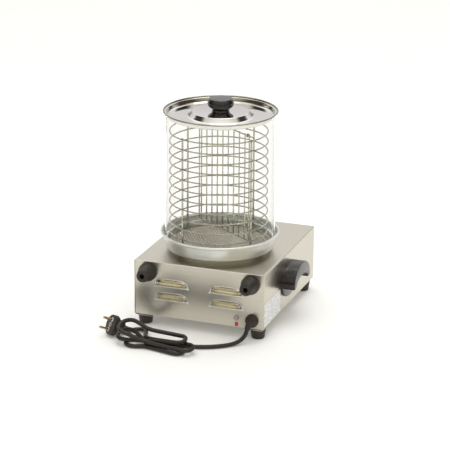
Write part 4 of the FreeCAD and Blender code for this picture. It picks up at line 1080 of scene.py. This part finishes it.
def make_floor():
    """A plain sheet of pale paper."""
    half = 14.0
    mesh = bpy.data.meshes.new("floor")
    mesh.from_pydata([(-half, -half, 0), (half, -half, 0), (half, half, 0), (-half, half, 0)],
                     [], [(0, 1, 2, 3)])
    look = Look("floor_paper", (0.96, 0.96, 0.96), roughness=0.9, specular_ior_level=0.1,
                emission_color=(1, 1, 1, 1), emission_strength=FLOOR_GLOW)
    grain = look.noise(look.place(), 900, 2.0)
    look.colour_by(grain, (0.3, (0.95, 0.95, 0.95)), (0.7, (0.97, 0.97, 0.97)))
    mesh.materials.append(look.material)
    placed("floor", mesh)


def lamp(name, place, aim, size, power):
    """A rectangular softbox."""
    data = bpy.data.lights.new(name, "AREA")
    data.shape = "RECTANGLE"
    data.size, data.size_y = size
    data.energy = power
    light = placed(name, data)
    light.location = place
    light.rotation_euler = (Vector(aim) - Vector(place)).to_track_quat("-Z", "Y").to_euler()


# sine of the elevation and the sky's colour there, behind the object and on the camera's side
SKY_BEHIND = [(0.0, (0.50, 0.49, 0.47)), (0.30, (0.82, 0.805, 0.81)), (0.50, (1.16, 1.15, 1.13)),
              (1.0, (1.48, 1.47, 1.46))]
SKY_BEFORE = [(0.0, (0.035, 0.03, 0.02)), (0.19, (0.07, 0.06, 0.04)), (0.27, (0.62, 0.60, 0.50)),
              (0.40, (0.95, 0.93, 0.85)), (0.80, (0.80, 0.78, 0.68)), (1.0, (1.30, 1.29, 1.27))]
BEFORE_REACH = (95.0, 135.0)     # degrees from the camera's side over which the sky changes
FLAG_TURN = 104.0      # dark flags stand this far round from the camera, left and right
FLAG_HEIGHT = 33.0
FLAG_LIGHT = 0.05                # of the sky's brightness
FLAG_SIZE = (9.0, 26.0)          # degrees from a flag's middle: dark within, gone beyond


GLASS_BOUNCES = 40     # light that creeps round inside the glass's wall needs many


def near_to(sky, way, toward, reach, level=(0.0, 1.0)):
    """How near way is to toward: from level[0] at reach[1] degrees to level[1] at reach[0] degrees."""
    near = sky.node("ShaderNodeVectorMath", operation="DOT_PRODUCT")
    near.inputs[1].default_value = toward
    sky.link(way, near.inputs[0])
    limits = [math.cos(math.radians(reach[i])) for i in (1, 0)]
    return sky.span(near.outputs["Value"], limits, level, "SMOOTHSTEP")


def make_world():
    """A pale studio: brightest overhead, a dark low side before the object, dark flags at its sides."""
    world = bpy.data.worlds.new("studio")
    world.use_nodes = True
    scene = bpy.context.scene
    scene.world = world
    sky = Nodes(world.node_tree)
    background = sky.tree.nodes["Background"]
    way = sky.node("ShaderNodeTexCoord").outputs["Generated"]
    height = sky.height(way)
    front = math.pi / 2 + VIEW_AZIMUTH
    sides = sky.node("ShaderNodeMix", data_type="RGBA")
    sky.link(near_to(sky, way, (math.cos(front), math.sin(front), 0), BEFORE_REACH),
             sides.inputs["Factor"])
    sky.link(sky.ramp(height, SKY_BEHIND), sides.inputs["A"])
    sky.link(sky.ramp(height, SKY_BEFORE), sides.inputs["B"])
    colour = sides.outputs["Result"]
    rise = math.radians(FLAG_HEIGHT)
    for side in (-1, 1):
        turn = front + side * math.radians(FLAG_TURN)
        toward = (math.cos(turn) * math.cos(rise), math.sin(turn) * math.cos(rise), math.sin(rise))
        shade = sky.node("ShaderNodeVectorMath", operation="SCALE")
        sky.link(colour, shade.inputs[0])
        sky.link(near_to(sky, way, toward, FLAG_SIZE, (1.0, FLAG_LIGHT)), shade.inputs["Scale"])
        colour = shade.outputs["Vector"]
    sky.link(colour, background.inputs["Color"])
    scene.view_settings.view_transform = "Standard"
    scene.cycles.max_bounces = GLASS_BOUNCES
    scene.cycles.transmission_bounces = GLASS_BOUNCES
    scene.cycles.glossy_bounces = GLASS_BOUNCES


# ---- put it together ----
make_camera()
make_gland()
tie = make_tie()
plug = make_plug()
lead, lead_exit = make_cord()
dress_cad()
make_glass()
make_pan()
make_diffuser()
make_lid()
make_lid_knob()
make_basket()
make_divider()
make_rear_sheet()
make_edge_lip()
for number, (x, lip) in enumerate([(x, lip) for x in (-VENT_X, VENT_X) for lip in VENT_LIPS]):
    make_vent("vent_hood_%d" % (number + 1), x, lip)
    make_vent_rim("vent_rim_%d" % (number + 1), x, lip)
for corner in ("front_left", "front_right", "rear_left", "rear_right"):
    make_foot("foot_" + corner)
for name in ("wall_bumper_left", "wall_bumper_right"):
    make_bumper(name)
make_bumper_screws()
make_handle()
make_floor()
make_world()
lamp("softbox", (-0.2, -0.3, 2.8), (0, 0, 0.1), (1.8, 1.8), 18)
